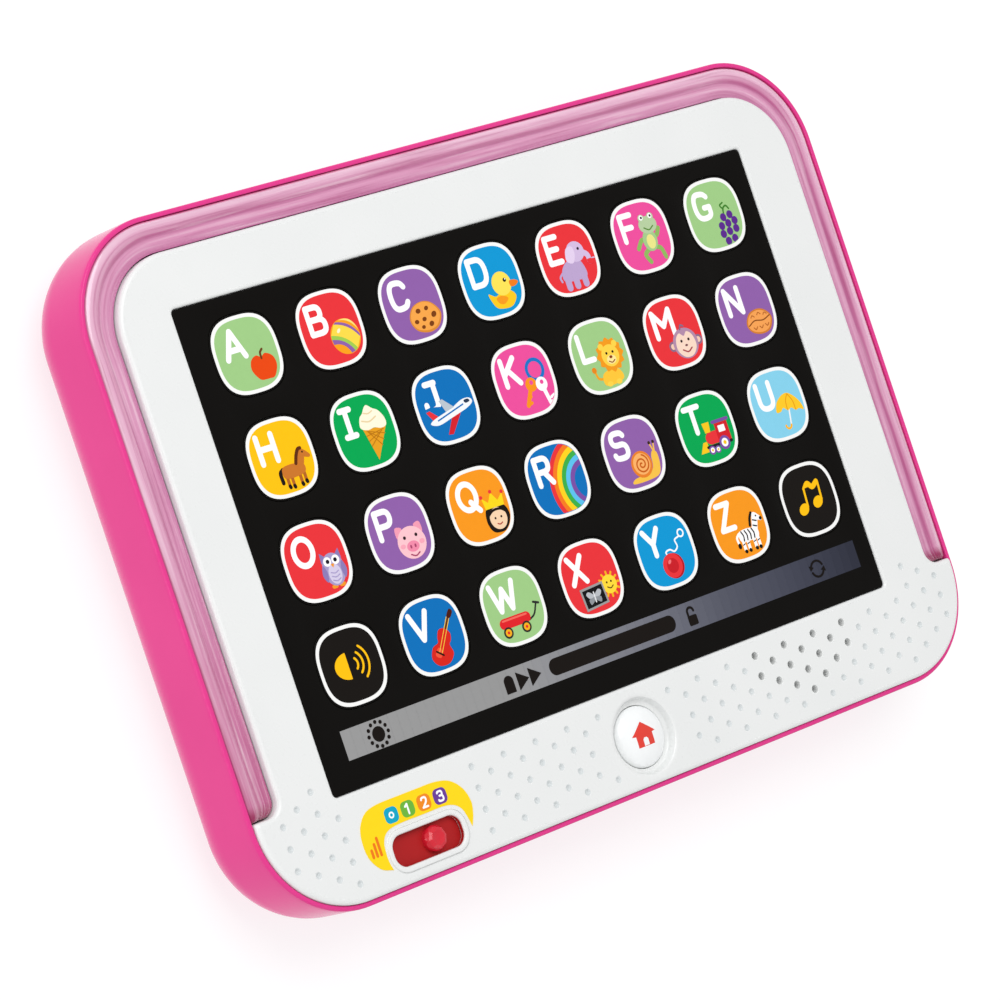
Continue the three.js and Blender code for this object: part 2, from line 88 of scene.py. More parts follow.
lights = {
    "world": (0.62, 0.62, 0.625),
    "above": {"at": (-0.25, 0.75, 1.5), "size": 1.1, "watts": 14},
    "left": {"at": (-1.4, 0.15, 0.45), "size": 0.6, "watts": 3.6},
    "front": {"at": (0.3, -1.3, 0.9), "size": 0.8, "watts": 1.2},
}


# A square soft box that faces the middle of the toy.
def makeLight(name, at, size, watts):
    data = bpy.data.lights.new(name, "AREA")
    data.size = size
    data.energy = watts
    made = bpy.data.objects.new(name, data)
    made.location = at
    made.rotation_euler = Vector(at).to_track_quat("Z", "Y").to_euler()
    scene.collection.objects.link(made)


makeCamera(camera)
world = bpy.data.worlds.new("studio")
world.use_nodes = True
world.node_tree.nodes["Background"].inputs["Color"].default_value = (*lights["world"], 1)
scene.world = world
for name in ("above", "left", "front"):
    makeLight(name, **lights[name])
print("camera and lights are set")


# Outlines: each is a function of how far it grows, and gives points round counter-clockwise.

def arc(x, y, r, start, end, steps):
    turn = np.linspace(start, end, steps + 1)
    return np.column_stack((x + r * np.cos(turn), y + r * np.sin(turn)))


# Four quarter circles; the straight sides are the steps between them.
def roundedBox(x0, y0, x1, y1, r, steps=8):
    def outline(grow=0):
        radius = max(r + grow, 0.02)
        places = ((x1 - r, y0 + r), (x1 - r, y1 - r), (x0 + r, y1 - r), (x0 + r, y0 + r))
        return np.concatenate([arc(x, y, radius, (i - 1) * pi / 2, i * pi / 2, steps)
                               for i, (x, y) in enumerate(places)])
    return outline


def circle(x, y, r, count=32):
    return lambda grow=0: arc(x, y, r + grow, 0, 2 * pi, count)[:-1]


# |x|^n + |y|^n = half^n, a square with soft sides.
def softSquare(x, y, half, power=2.85, count=72):
    turn = np.arange(count) * 2 * pi / count
    c, s = np.cos(turn), np.sin(turn)
    reach = (np.abs(c) ** power + np.abs(s) ** power) ** (-1 / power)
    return lambda grow=0: np.column_stack((x + (half + grow) * reach * c, y + (half + grow) * reach * s))


# A list of (grow, height) from one corner to the other of a quarter ellipse.
def bend(start, end, steps=6, upright=True):
    turn = np.linspace(0, pi / 2, steps + 1)
    slow, fast = 1 - np.cos(turn), np.sin(turn)
    across, along = (slow, fast) if upright else (fast, slow)
    return np.column_stack((start[0] + (end[0] - start[0]) * across, start[1] + (end[1] - start[1]) * along))


def profile(*parts):
    return np.concatenate([np.reshape(part, (-1, 2)) for part in parts])


# Closed surfaces from rings of points.

class Surface:
    def __init__(self):
        self.points, self.inks, self.faces, self.paints = [], [], [], []
        self.count = 0
        self.ink = (1, 1, 1)
        self.paint = 0

    # Keeps an array of points and gives their numbers in the same layout.
    def add(self, points):
        flat = np.reshape(points, (-1, 3))
        numbers = self.count + np.arange(len(flat)).reshape(np.shape(points)[:-1])
        self.points.append(flat)
        self.inks.append(np.tile(self.ink, (len(flat), 1)))
        self.count += len(flat)
        return numbers

    def cover(self, faces):
        self.faces.append(faces)
        self.paints.append(np.full(len(faces), self.paint))

    # Quads between each ring and the next; rings close on themselves.
    def skin(self, rings):
        after = np.roll(rings, -1, axis=1)
        self.cover(np.stack((rings[:-1], after[:-1], after[1:], rings[1:]), axis=-1).reshape(-1, 4))

    # A profile carried round an outline: up outside, inwards on top, down inside.
    def carry(self, outline, rows):
        rings = [np.column_stack((outline(grow), np.full(len(outline(grow)), z))) for grow, z in rows]
        numbers = self.add(np.array(rings))
        self.skin(numbers)
        return numbers

    # Triangles over the flat area inside the first ring and outside the others.
    def fill(self, rings, up=True):
        numbers = np.concatenate(rings)
        flat = np.concatenate(self.points)[numbers][:, :2]
        owner = np.repeat(np.arange(len(rings)), [len(ring) for ring in rings])
        start = np.cumsum([0] + [len(ring) for ring in rings])
        edges = np.concatenate([np.column_stack((np.arange(a, b), np.roll(np.arange(a, b), -1)))
                                for a, b in zip(start[:-1], start[1:])])
        made = delaunay_2d_cdt([Vector(p) for p in flat.tolist()], edges.tolist(), [], 1, 1e-7)
        back = np.array([ids[0] for ids in made[3]])
        tris = back[np.array(made[2])]
        inHole = (owner[tris[:, 0]] > 0) & (owner[tris[:, 0]] == owner[tris[:, 1]]) \
            & (owner[tris[:, 1]] == owner[tris[:, 2]])
        tris = tris[~inHole]
        a, b, c = flat[tris[:, 0]], flat[tris[:, 1]], flat[tris[:, 2]]
        lies = (b - a)[:, 0] * (c - a)[:, 1] - (b - a)[:, 1] * (c - a)[:, 0]
        wrong = (lies < 0) == up
        tris[wrong] = tris[wrong][:, ::-1]
        self.cover(numbers[tris])

    # A fan from a ring to a middle point.
    def pole(self, ring, x, y, z, up=True):
        middle = self.add(np.array([[x, y, z]], float))[0]
        after = np.roll(ring, -1)
        fan = np.column_stack((ring, after, np.full(len(ring), middle)))
        self.cover(fan if up else fan[:, ::-1])


# Puts a surface into an object at the origin, smooth except over sharp edges.
def piece(name, surface, body, replaced, finishes, sharp=38):
    mesh = bpy.data.meshes.new(name)
    faces = [face for block in surface.faces for face in block.tolist()]
    mesh.from_pydata((np.concatenate(surface.points) * mm).tolist(), [], faces)
    inks = np.concatenate(surface.inks)
    colours = mesh.color_attributes.new("ink", "FLOAT_COLOR", "POINT")
    colours.data.foreach_set("color", np.column_stack((inks, np.ones(len(inks)))).ravel())
    for finish in finishes:
        mesh.materials.append(finish)
    mesh.polygons.foreach_set("material_index", np.concatenate(surface.paints))
    mesh.shade_smooth()
    mesh.set_sharp_from_angle(angle=radians(sharp))
    made = bpy.data.objects.new(name, mesh)
    scene.collection.objects.link(made)
    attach(made, body)
    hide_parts(replaced)
    return made


# Materials.

# A socket's value, so that sums on it add Math nodes.
class Value:
    def __init__(self, finish, socket):
        self.finish, self.socket = finish, socket

    def sum(self, operation, first, second):
        return self.finish.node("Math", {"operation": operation}, {0: first, 1: second})

    def __add__(self, other):
        return self.sum("ADD", self, other)

    def __radd__(self, other):
        return self.sum("ADD", other, self)

    def __sub__(self, other):
        return self.sum("SUBTRACT", self, other)

    def __rsub__(self, other):
        return self.sum("SUBTRACT", other, self)

    def __mul__(self, other):
        return self.sum("MULTIPLY", self, other)

    def __rmul__(self, other):
        return self.sum("MULTIPLY", other, self)

    def __pow__(self, other):
        return self.sum("POWER", self, other)


def linear(code):
    parts = np.array([int(code[i:i + 2], 16) for i in (1, 3, 5)]) / 255
    return tuple(np.where(parts < 0.04045, parts / 12.92, ((parts + 0.055) / 1.055) ** 2.4).tolist())


class Finish:
    def __init__(self, name, **sockets):
        self.material = bpy.data.materials.new(name)
        self.material.use_nodes = True
        self.tree = self.material.node_tree
        self.shader = self.tree.nodes["Principled BSDF"]
        for socket, value in sockets.items():
            self.shader.inputs[socket.replace("_", " ")].default_value = value

    # Any node: its type, then its settings, then what goes into its sockets.
    def node(self, kind, settings, sockets, output=0):
        made = self.tree.nodes.new("ShaderNode" + kind)
        stops = settings.pop("stops", None)
        for name, value in settings.items():
            setattr(made, name, value)
        if stops:
            for i, (place, shade) in enumerate(stops):
                stop = made.color_ramp.elements[i] if i < 2 else made.color_ramp.elements.new(place)
                stop.position = place
                stop.color = (shade, shade, shade, 1)
        for name, value in sockets.items():
            self.put(made.inputs[name], value)
        return Value(self, made.outputs[output])

    def put(self, socket, value):
        if isinstance(value, Value):
            self.tree.links.new(value.socket, socket)
        else:
            socket.default_value = value

    def place(self):
        return self.node("TexCoord", {}, {}, "Object")

    def noise(self, scale, detail=2, stretch=None):
        where = self.place()
        if stretch:
            where = self.node("Mapping", {}, {"Vector": where, "Scale": stretch})
        return self.node("TexNoise", {}, {"Vector": where, "Scale": scale, "Detail": detail})

    # A colour between two, by a value.
    def blend(self, amount, first, second, way="MIX"):
        first, second = [c if isinstance(c, Value) else (*c, 1) for c in (first, second)]
        return self.node("Mix", {"data_type": "RGBA", "blend_type": way}, {0: amount, 6: first, 7: second}, 2)

    def bump(self, height, strength, distance):
        self.put(self.shader.inputs["Normal"], self.node(
            "Bump", {}, {"Height": height, "Strength": strength, "Distance": distance}))

    def colour(self, value):
        self.put(self.shader.inputs["Base Color"], value)

    def rough(self, value):
        self.put(self.shader.inputs["Roughness"], value)


plastics = {
    "tubPink": {"main": "#E5408F", "deep": "#DA3686", "rough": 0.17, "grain": 0.04,
                "Specular_IOR_Level": 0.2},
    "faceWhite": {"main": "#EBECEB", "deep": "#E3E5E4", "rough": 0.28, "grain": 0.04},
    "sliderRed": {"main": "#DC1F33", "deep": "#C51A2C", "rough": 0.16, "grain": 0.03},
    # The dents' hollows: the face's white painted greyer, as painted shade in them.
    "dentShadeGrey": {"main": "#D9DDDD", "deep": "#D0D5D6", "rough": 0.45, "grain": 0.05,
                 "Specular_IOR_Level": 0.1},
    "plateRed": {"main": "#B92224", "deep": "#A01C1E", "rough": 0.38, "grain": 0.08,
                 "Specular_IOR_Level": 0.15},
    "innerGrey": {"main": "#D8D8D6", "deep": "#C9C9C7", "rough": 0.5, "grain": 0.1},
    "membraneGrey": {"main": "#A5ADAA", "deep": "#939B98", "rough": 0.65, "grain": 0.1},
    "rubberGrey": {"main": "#8D9396", "deep": "#7D8386", "rough": 0.75, "grain": 0.15},
    "switchBlack": {"main": "#2A2A2C", "deep": "#1E1E20", "rough": 0.5, "grain": 0.1},
}


# Moulded plastic: cloudy depth in the colour, uneven gloss, and a fine skin of orange peel.
def mouldedPlastic(name, main, deep, rough, grain, **sockets):
    finish = Finish(name, **sockets)
    cloud = finish.noise(35, 3)
    finish.colour(finish.blend(cloud, linear(main), linear(deep)))
    finish.rough(rough - 0.04 + 0.08 * finish.noise(420, 2))
    finish.bump(finish.noise(900, 3), grain, 0.0002)
    return finish.material


finishes = {name: mouldedPlastic(name, **look) for name, look in plastics.items()}

# pale is the painted highlight colour of the ring's streaks, deep their painted shade colour.
ringLook = {"pale": "#F8D3E4", "deep": "#A8316F", "clear": 0.12}


# Clear tinted plastic: its pink with bands of painted highlight and painted shade across its section from the
# attribute, and long pale streaks of painted highlight and deep streaks of painted shade that follow it round,
# from a noise on the way along and the way across.
def clearPink():
    finish = Finish("clearPink", Transmission_Weight=ringLook["clear"], IOR=1.49, Coat_Weight=0.7,
                    Coat_Roughness=0.04)
    lightAndShadeBands = finish.node("Attribute", {"attribute_name": "ink"}, {})
    flow = finish.node("Attribute", {"attribute_name": "flow"}, {}, "Vector")
    streak = finish.node("TexNoise", {}, {"Vector": flow, "Scale": 1.0, "Detail": 4})
    fine = finish.noise(420, 3)
    # Painted highlight where the streak noise is high, painted shade where it is low.
    lit = finish.node("ValToRGB", {"stops": [(0.52, 0), (0.74, 1)]}, {0: streak})
    shadeStreak = finish.node("ValToRGB", {"stops": [(0.3, 1), (0.47, 0)]}, {0: streak})
    base = finish.blend(0.55 * lit, lightAndShadeBands, linear(ringLook["pale"]))
    finish.colour(finish.blend(0.45 * shadeStreak, base, linear(ringLook["deep"])))
    finish.rough(0.1 + 0.14 * fine)
    finish.bump(streak + 0.15 * fine, 0.35, 0.0006)
    return finish.material


# Hard-coated printed film: the ink's own colour with a slight mottle, over a very fine satin texture.
def printedFilm(name, rough, specular):
    finish = Finish(name, Specular_IOR_Level=specular)
    ink = finish.node("Attribute", {"attribute_name": "ink"}, {})
    mottle = finish.noise(700, 2)
    finish.colour(finish.blend(0.05 * mottle, ink, (0, 0, 0)))
    finish.rough(rough + 0.1 * mottle)
    finish.bump(finish.noise(2600, 2), 0.04, 0.0001)
    return finish.material


# Steel drawn through a die: fine lines that change the gloss.
def drawnSteel():
    finish = Finish("drawnSteel", Metallic=1.0)
    lines = finish.noise(900, 3, (0.1, 1, 1))
    finish.colour(finish.blend(lines, linear("#B9BCC0"), linear("#9EA2A8")))
    finish.rough(0.25 + 0.2 * lines)
    finish.bump(lines, 0.08, 0.0001)
    return finish.material


# Green lacquer over copper tracks, which stand a little proud where a stepped noise is high.
def circuitBoard():
    finish = Finish("circuitBoard")
    cells = finish.node("TexVoronoi", {"distance": "CHEBYCHEV"}, {"Vector": finish.place(), "Scale": 210})
    track = finish.node("ValToRGB", {"stops": [(0.3, 1), (0.36, 0)]}, {0: cells})
    finish.colour(finish.blend(track, linear("#1F6B3A"), linear("#3C9455")))
    finish.rough(0.34 + 0.12 * track)
    finish.bump(track, 0.3, 0.0001)
    return finish.material


# Pressed paper cone: rings about its axis and fibres.
def paperCone():
    finish = Finish("paperCone")
    centred = finish.node("Mapping", {}, {"Vector": finish.place(), "Location": (-0.0585, 0.0703, 0)})
    rings = finish.node("TexWave", {"wave_type": "RINGS", "rings_direction": "Z"},
                        {"Vector": centred, "Scale": 240})
    finish.colour(finish.blend(finish.noise(900, 3), linear("#26262A"), linear("#37373C")))
    finish.rough(0.7 + 0.15 * rings)
    finish.bump(rings, 0.3, 0.0002)
    return finish.material


# Clear epoxy lamp with a faint milky cloud.
def lampEpoxy():
    finish = Finish("lampEpoxy", Transmission_Weight=0.5, IOR=1.5)
    cloud = finish.noise(300, 3)
    finish.colour(finish.blend(cloud, linear("#F4F4F0"), linear("#E2E4E6")))
    finish.rough(0.12 + 0.15 * cloud)
    return finish.material


# Floor: lit white sweep with a barely visible tooth.
def paperFloor():
    finish = Finish("paperFloor", Specular_IOR_Level=0.0, Emission_Color=(1, 1, 1, 1), Emission_Strength=0.74)
    tooth = finish.noise(160, 3)
    finish.colour(finish.blend(tooth, (0.31, 0.315, 0.315), (0.3, 0.305, 0.305)))
    finish.rough(0.9 + 0.05 * tooth)
    return finish.material


finishes.update({
    "clearPink": clearPink(),
    "keyFilm": printedFilm("keyFilm", 0.34, 0.08),
    "glossPrint": printedFilm("glossPrint", 0.25, 0.12),
    "buttonPrint": printedFilm("buttonPrint", 0.1, 0.5),
    "cellPrint": printedFilm("cellPrint", 0.3, 0.5),
    "drawnSteel": drawnSteel(),
    "circuitBoard": circuitBoard(),
    "paperCone": paperCone(),
    "lampEpoxy": lampEpoxy(),
})
print("finishes are mixed")


# Floor.

floor = Surface()
floorRings = floor.carry(roundedBox(-2500, -2500, 2500, 2500, 400), [(0, -3), (0, -0.2)])
floor.fill([floorRings[1]])
floor.fill([floorRings[0]], up=False)
floorMesh = bpy.data.meshes.new("floor")
floorMesh.from_pydata((np.concatenate(floor.points) * mm).tolist(), [],
                      [face for block in floor.faces for face in block.tolist()])
floorMesh.materials.append(paperFloor())
floorObject = bpy.data.objects.new("floor", floorMesh)
scene.collection.objects.link(floorObject)


# Tub.

tub = {
    "half": (120.1, 85.7), "corner": 26, "round": 15, "side": 1.8, "back": 2.2,
    "rim": 28.7, "shoulder": 0.55, "lip": 1.25,
    "screws": [(-98.9, 63), (98.9, 63), (-98.9, 0), (98.9, 0), (-98.9, -63), (98.9, -63)],
    "platePosts": [(-60, 50), (60, 50), (-60, -30), (60, -30)],
    "boardPosts": [(-88, -64), (-22, -64), (30, -64)],
    "bay": (0, 9, 28.4, 23.4), "bayTop": 17.8, "bayWall": 1.6,
    "seat": (-32.9, -18.9, 42.8, 36.9), "seatTop": 2.5, "frameTop": 4.2, "doorScrew": (37.5, 9),
}
tubOutline = roundedBox(-tub["half"][0], -tub["half"][1], tub["half"][0], tub["half"][1], tub["corner"], 24)


def boxRound(x, y, halfX, halfY, r=0.6, steps=3):
    return roundedBox(x - halfX, y - halfY, x + halfX, y + halfY, r, steps)


# The tub's section: quarter round from the back to the upright side, a rounded shoulder to a thin rim,
# a step in the inner wall, down it and along the inner quarter round to the floor.
def makeTub():
    surface = Surface()
    r, side, rim = tub["round"], tub["side"], tub["rim"]
    lip = tub["lip"]
    outer = profile([(-r - 0.2, 0)], bend((0, r), (-r, 0), 14)[::-1], [(0, 26.6)],
                    bend((0, rim - 0.7), (-tub["shoulder"], rim), 6),
                    bend((0.25 - lip, rim), (-lip, rim - 0.3), 4, False),
                    [(-lip, 24), (-side, 23.8)], bend((-side, r), (-r, tub["back"]), 10),
                    [(-r - 0.2, tub["back"])])
    walls = surface.carry(tubOutline, outer)
    backHoles, floorHoles = [], []
    for x, y in tub["screws"]:
        post = surface.carry(circle(x, y, 3.4), [(1.3, 2.2), (1, 2.5), (1, 10), (0.4, 10), (0.4, 19.7),
                                                 (0.1, 20),
                                                 (-1.7, 20), (-1.7, 8), (0, 8), (0, 0.4), (0.4, 0)])
        floorHoles.append(post[0])
        backHoles.append(post[-1])
    for x, y, top in [(*p, 25) for p in tub["platePosts"]] + [(*p, 17) for p in tub["boardPosts"]]:
        post = surface.carry(circle(x, y, 3, 20), [(0.5, 2.2), (0, 2.7), (-0.2, top - 0.3), (-0.5, top)])
        surface.pole(post[-1], x, y, top)
        floorHoles.append(post[0])
    x, y, halfX, halfY = tub["bay"]
    x0, y0, x1, y1 = tub["seat"]
    wall, seatTop, frameTop = tub["bayWall"], tub["seatTop"], tub["frameTop"]
    ledge = surface.carry(roundedBox(x0 - 2.1, y0 - 2.1, x1 + 2.1, y1 + 2.1, 4),
                          [(0, tub["back"]), (0, frameTop - 0.3), (-0.3, frameTop)])
    bayOuter = surface.carry(boxRound(x, y, halfX + wall, halfY + wall, 1.6),
                             [(0.3, frameTop), (0, frameTop + 0.3), (0, 19), (-0.4, 19.4)])
    screwPost = surface.carry(circle(*tub["doorScrew"], 4, 24),
                              [(0.2, frameTop), (0, frameTop + 0.2), (0, 11.7), (-0.3, 12)])
    bayRoom = surface.carry(boxRound(x, y, halfX, halfY, 0.8),
                            [(0, tub["bayTop"]), (0, seatTop + 0.3), (0.3, seatTop)])
    screwHole = surface.carry(circle(*tub["doorScrew"], 1.7, 24), [(0, 10.5), (0, seatTop)])
    seat = surface.carry(roundedBox(x0, y0, x1, y1, 3.3), [(0, seatTop), (0, 0.4), (0.4, 0)])
    surface.pole(screwPost[-1], *tub["doorScrew"], 12)
    surface.pole(screwHole[0], *tub["doorScrew"], 10.5, up=False)
    surface.fill([bayOuter[-1]])
    surface.fill([bayRoom[0]], up=False)
    surface.fill([ledge[-1], bayOuter[0], screwPost[0]])
    surface.fill([seat[0], bayRoom[-1], screwHole[-1]], up=False)
    surface.fill([walls[0], seat[-1], *backHoles], up=False)
    surface.fill([walls[-1], ledge[0], *floorHoles])
    return piece("tub", surface, "housing", "rear_shell", [finishes["tubPink"]])


makeTub()
print("tub is moulded")


# Face plate.

face = {
    "half": 118.75, "edge": 84.35, "corner": 24.65, "step": 0.75, "upperHalf": 110.7, "upperEdge": 76.3,
    "upperCorner": 18.2,
    "notch": -57.8, "fillet": 4, "tip": 0.7, "top": 30, "bottom": 27.4, "skirt": 22, "skirtWall": 1.3,
    "softEdge": 1.1,
    "window": (-95.25, -58.9, 93.25, 62.4, 1.3), "windowEdge": 0.8, "ledge": (-93.25, -56.9, 91.25, 60.4, 1),
    "ledgeTop": 28.3,
    "home": (0, -72), "dish": 10.1, "hole": 8, "collar": 10.1, "collarBottom": 25.2,
    "slot": (-73.35, -76.3, 10.8, 3.9, 3.2), "lip": 1.6, "lipTop": 30.4,
    "slideRoom": (-100.2, -81.5, -46.5, -71.1, 1),
    "slideRoomTop": 28.7,
    "speaker": (58.5, -63.5), "soundRows": (4, 3, 4, 3, 2, 1), "soundStep": (10.58, 2.71), "soundHole": 1.0,
    "dentStep": (10.46, 2.71), "dentFirst": 12, "dentShift": -0.4, "dent": 0.9, "dentDepth": 0.5,
    "bossTop": 26.8,
}


# The face is narrow beside the light ring and wide below it, with a hollow corner between.
def faceOutline(grow=0):
    u, top, ru = face["upperHalf"] + grow, face["upperEdge"] + grow, face["upperCorner"] + grow
    w, bottom = face["half"] + grow, -face["edge"] - grow
    notch, hollow, tip = face["notch"] + grow, face["fillet"] - grow, face["tip"]
    rw = min(face["corner"] + grow, notch - tip - bottom - 0.1)
    right = np.concatenate((arc(u - ru, top - ru, ru, pi / 2, 0, 20),
                            arc(u + hollow, notch + hollow, hollow, pi, 1.5 * pi, 8),
                            arc(w - tip, notch - tip, tip, pi / 2, 0, 5),
                            arc(w - rw, bottom + rw, rw, 0, -pi / 2, 24)))
    return np.concatenate((right, right[::-1] * (-1, 1)))[::-1]


def soundHoles():
    x, y = face["speaker"]
    stepX, stepY = face["soundStep"]
    return np.array([(x + stepX * (i - (count - 1) / 2), y - stepY * row)
                     for row, count in enumerate(face["soundRows"]) for i in range(count)])


# A staggered lattice mirrored about the middle, kept clear of the window, button, label, speaker and edges.
def dentPlaces():
    rows, columns = np.meshgrid(np.arange(-3, 8), np.arange(0, 20), indexing="ij")
    keep = (rows + columns) % 2 == 0
    rows, columns = rows[keep], columns[keep]
    reach = face["dentFirst"] + columns * face["dentStep"][0] / 2
    x = np.concatenate((reach, -reach)) + face["dentShift"]
    y = np.tile(face["speaker"][1] - face["dentStep"][1] * rows, 2)
    x0, y0, x1, _, _ = face["window"]
    window = np.hypot(np.maximum(np.maximum(x0 - x, x - x1), 0), np.maximum(y0 - y, 0)) > 4.4
    button = np.hypot(x, y - face["home"][1]) > 14
    label = (x < -94) | (x > -56)
    holes = soundHoles()
    sound = np.min(np.hypot(x[:, None] - holes[:, 0], y[:, None] - holes[:, 1]), axis=1) > 3
    corner = face["corner"]
    side = np.hypot(np.maximum(np.abs(x) - face["half"] + corner, 0),
                    np.maximum(-y - face["edge"] + corner, 0)) < corner - 2.9
    beside = (y < face["notch"] - 2.8) | (np.abs(x) < face["upperHalf"] - 2.8)
    inside = window & button & label & sound & side & beside
    return np.column_stack((x, y))[inside]


# Round hollows on the top: rings of a bowl that starts level with the face and ends in a pole.
def dents(surface):
    top, depth, r = face["top"], face["dentDepth"], face["dent"]
    bowl = [(-0.22 * r, top - 0.16 * depth), (-0.5 * r, top - 0.68 * depth), (-0.78 * r, top - 0.95 * depth)]
    rims = []
    for x, y in dentPlaces():
        rim = surface.carry(circle(x, y, r, 14), [(0.18, top), (0, top)])
        # The bowl takes the greyer dent finish: painted shade in the hollow.
        surface.paint = 2
        rings = surface.carry(circle(x, y, r, 14), bowl)
        surface.skin(np.array([rim[-1], rings[0]]))
        surface.pole(rings[-1], x, y, top - depth)
        surface.paint = 0
        rims.append(rim[0])
    return rims


def makeFace():
    surface = Surface()
    top, under, soft = face["top"], face["bottom"], face["softEdge"]
    step, low = face["step"], face["skirt"]
    inner = step + face["skirtWall"]
    shell = surface.carry(faceOutline, profile([(-inner, low), (-step - 0.3, low), (-step, low + 0.3),
                                                (-step, 24.3),
                                                (0, 24.6), (0, top - soft - 0.4)],
                                               bend((0, top - soft), (-soft, top), 7), [(-soft - 0.25, top)]))
    skirt = surface.carry(lambda grow: faceOutline(grow - inner), [(0, under), (0, low + 0.1)])
    surface.skin(np.array([skirt[-1], shell[0]]))
    edge = face["windowEdge"]
    window = surface.carry(roundedBox(*face["window"]), profile([(edge + 0.2, top)],
                           bend((edge, top), (0, top - 0.7), 6, False), [(0, face["ledgeTop"])]))
    ledge = surface.carry(roundedBox(*face["ledge"], 8), [(0, face["ledgeTop"]), (0, under)])
    surface.skin(np.array([window[-1], ledge[0]]))
    dish, hole = face["dish"], face["hole"]
    home = surface.carry(circle(*face["home"], hole, 72), profile(
        [(dish - hole + 0.75, top)], bend((dish - hole + 0.55, top), (dish - hole - 0.35, top - 0.4),
                                          4, False),
        bend((dish - hole - 0.8, 28.3), (0.1, 27.7), 6), [(0, 27.5), (0, face["collarBottom"] + 0.3),
        (0.3, face["collarBottom"]), (face["collar"] - hole - 0.3, face["collarBottom"])]))
    collar = surface.carry(circle(*face["home"], face["collar"], 72),
                           [(0, face["collarBottom"] + 0.3), (0, under)])
    surface.skin(np.array([home[-1], collar[0]]))
    x, y, halfX, halfY, r = face["slot"]
    lip, lipTop = face["lip"], face["lipTop"]
    slot = surface.carry(boxRound(x, y, halfX, halfY, r, 8), profile(
        [(lip + 0.35, top)], bend((lip + 0.15, top), (lip - 0.1, top + 0.25), 3, False),
        bend((lip - 0.1, lipTop - 0.35), (lip - 0.5, lipTop), 4),
        bend((0.5, lipTop), (0, lipTop - 0.5), 4, False)))
    slotWall = surface.carry(boxRound(x, y, halfX, halfY, r, 8),
                             [(0, face["slideRoomTop"] + 0.1), (0, face["slideRoomTop"])])
    surface.paint = 1
    surface.skin(np.array([slot[-1], slotWall[0]]))
    surface.paint = 0
    slideRoom = surface.carry(roundedBox(*face["slideRoom"], 3), [(0, face["slideRoomTop"]), (0, under)])
    surface.fill([slideRoom[0], slotWall[-1]], up=False)
    holes = [surface.carry(circle(hx, hy, face["soundHole"], 20),
                           [(0.35, top), (0.16, top), (0.05, top - 0.05), (0, top - 0.2),
                            (0, under)]) for hx, hy in soundHoles()]
    bosses = []
    for bx, by in tub["screws"]:
        boss = surface.carry(circle(bx, by, 1.5, 24), [(0, face["bossTop"]), (0, 20.3), (1.9, 20.3),
                                                       (1.9, under)])
        surface.pole(boss[0], bx, by, face["bossTop"], up=False)
        bosses.append(boss[-1])
    surface.fill([shell[-1], window[0], home[0], slot[0], *[h[0] for h in holes], *dents(surface)])
    surface.fill([skirt[0], ledge[-1], collar[-1], slideRoom[-1], *[h[-1] for h in holes], *bosses], up=False)
    return piece("face", surface, "housing", "front_bezel",
                 [finishes[name] for name in ("faceWhite", "plateRed", "dentShadeGrey")], 32)


makeFace()
print("face plate is moulded")


# Light ring.

ring = {
    "gap": 0.3, "snug": 0.1, "end": -57.5, "endRound": 0.9,
    "section": [(0, 24.5), (0, 27.3), (0.01, 27.75), (0.035, 28.15), (0.08, 28.42), (0.14, 28.6),
                (0.22, 28.7),
                (0.31, 28.66), (0.39, 28.5), (0.46, 28.24), (0.51, 28.02), (0.56, 27.9), (0.63, 27.85),
                (0.97, 27.8), (1, 27.72), (1, 24.5)],
    # Section bands: the ring's pink with a painted highlight along the bead (0.08 to 0.36) and painted shade
    # at both edges and in a line at 0.49 on the bead's inner slope.
    "lightAndShadeBands": [(0, "#B83C7C"), (0.03, "#D0609A"), (0.08, "#F0C6DB"), (0.2, "#EAB0CD"), (0.36, "#E3A0C2"),
              (0.43, "#CE6B9E"), (0.49, "#B64C86"), (0.55, "#D685B0"), (0.65, "#E8A2C6"), (0.93, "#E297BE"),
              (1, "#B95490")],
    # tip and low are painted shade colours: both ends darken to tip, and the left leg's lower run deepens to
    # low.
    "tip": "#9C1456", "endShadeFull": 1.5, "endShadeFade": 2.5, "low": "#BC3F80", "leftShadeLength": 80, "leftShadeShare": 0.75,
    "streak": (34, 8),
}
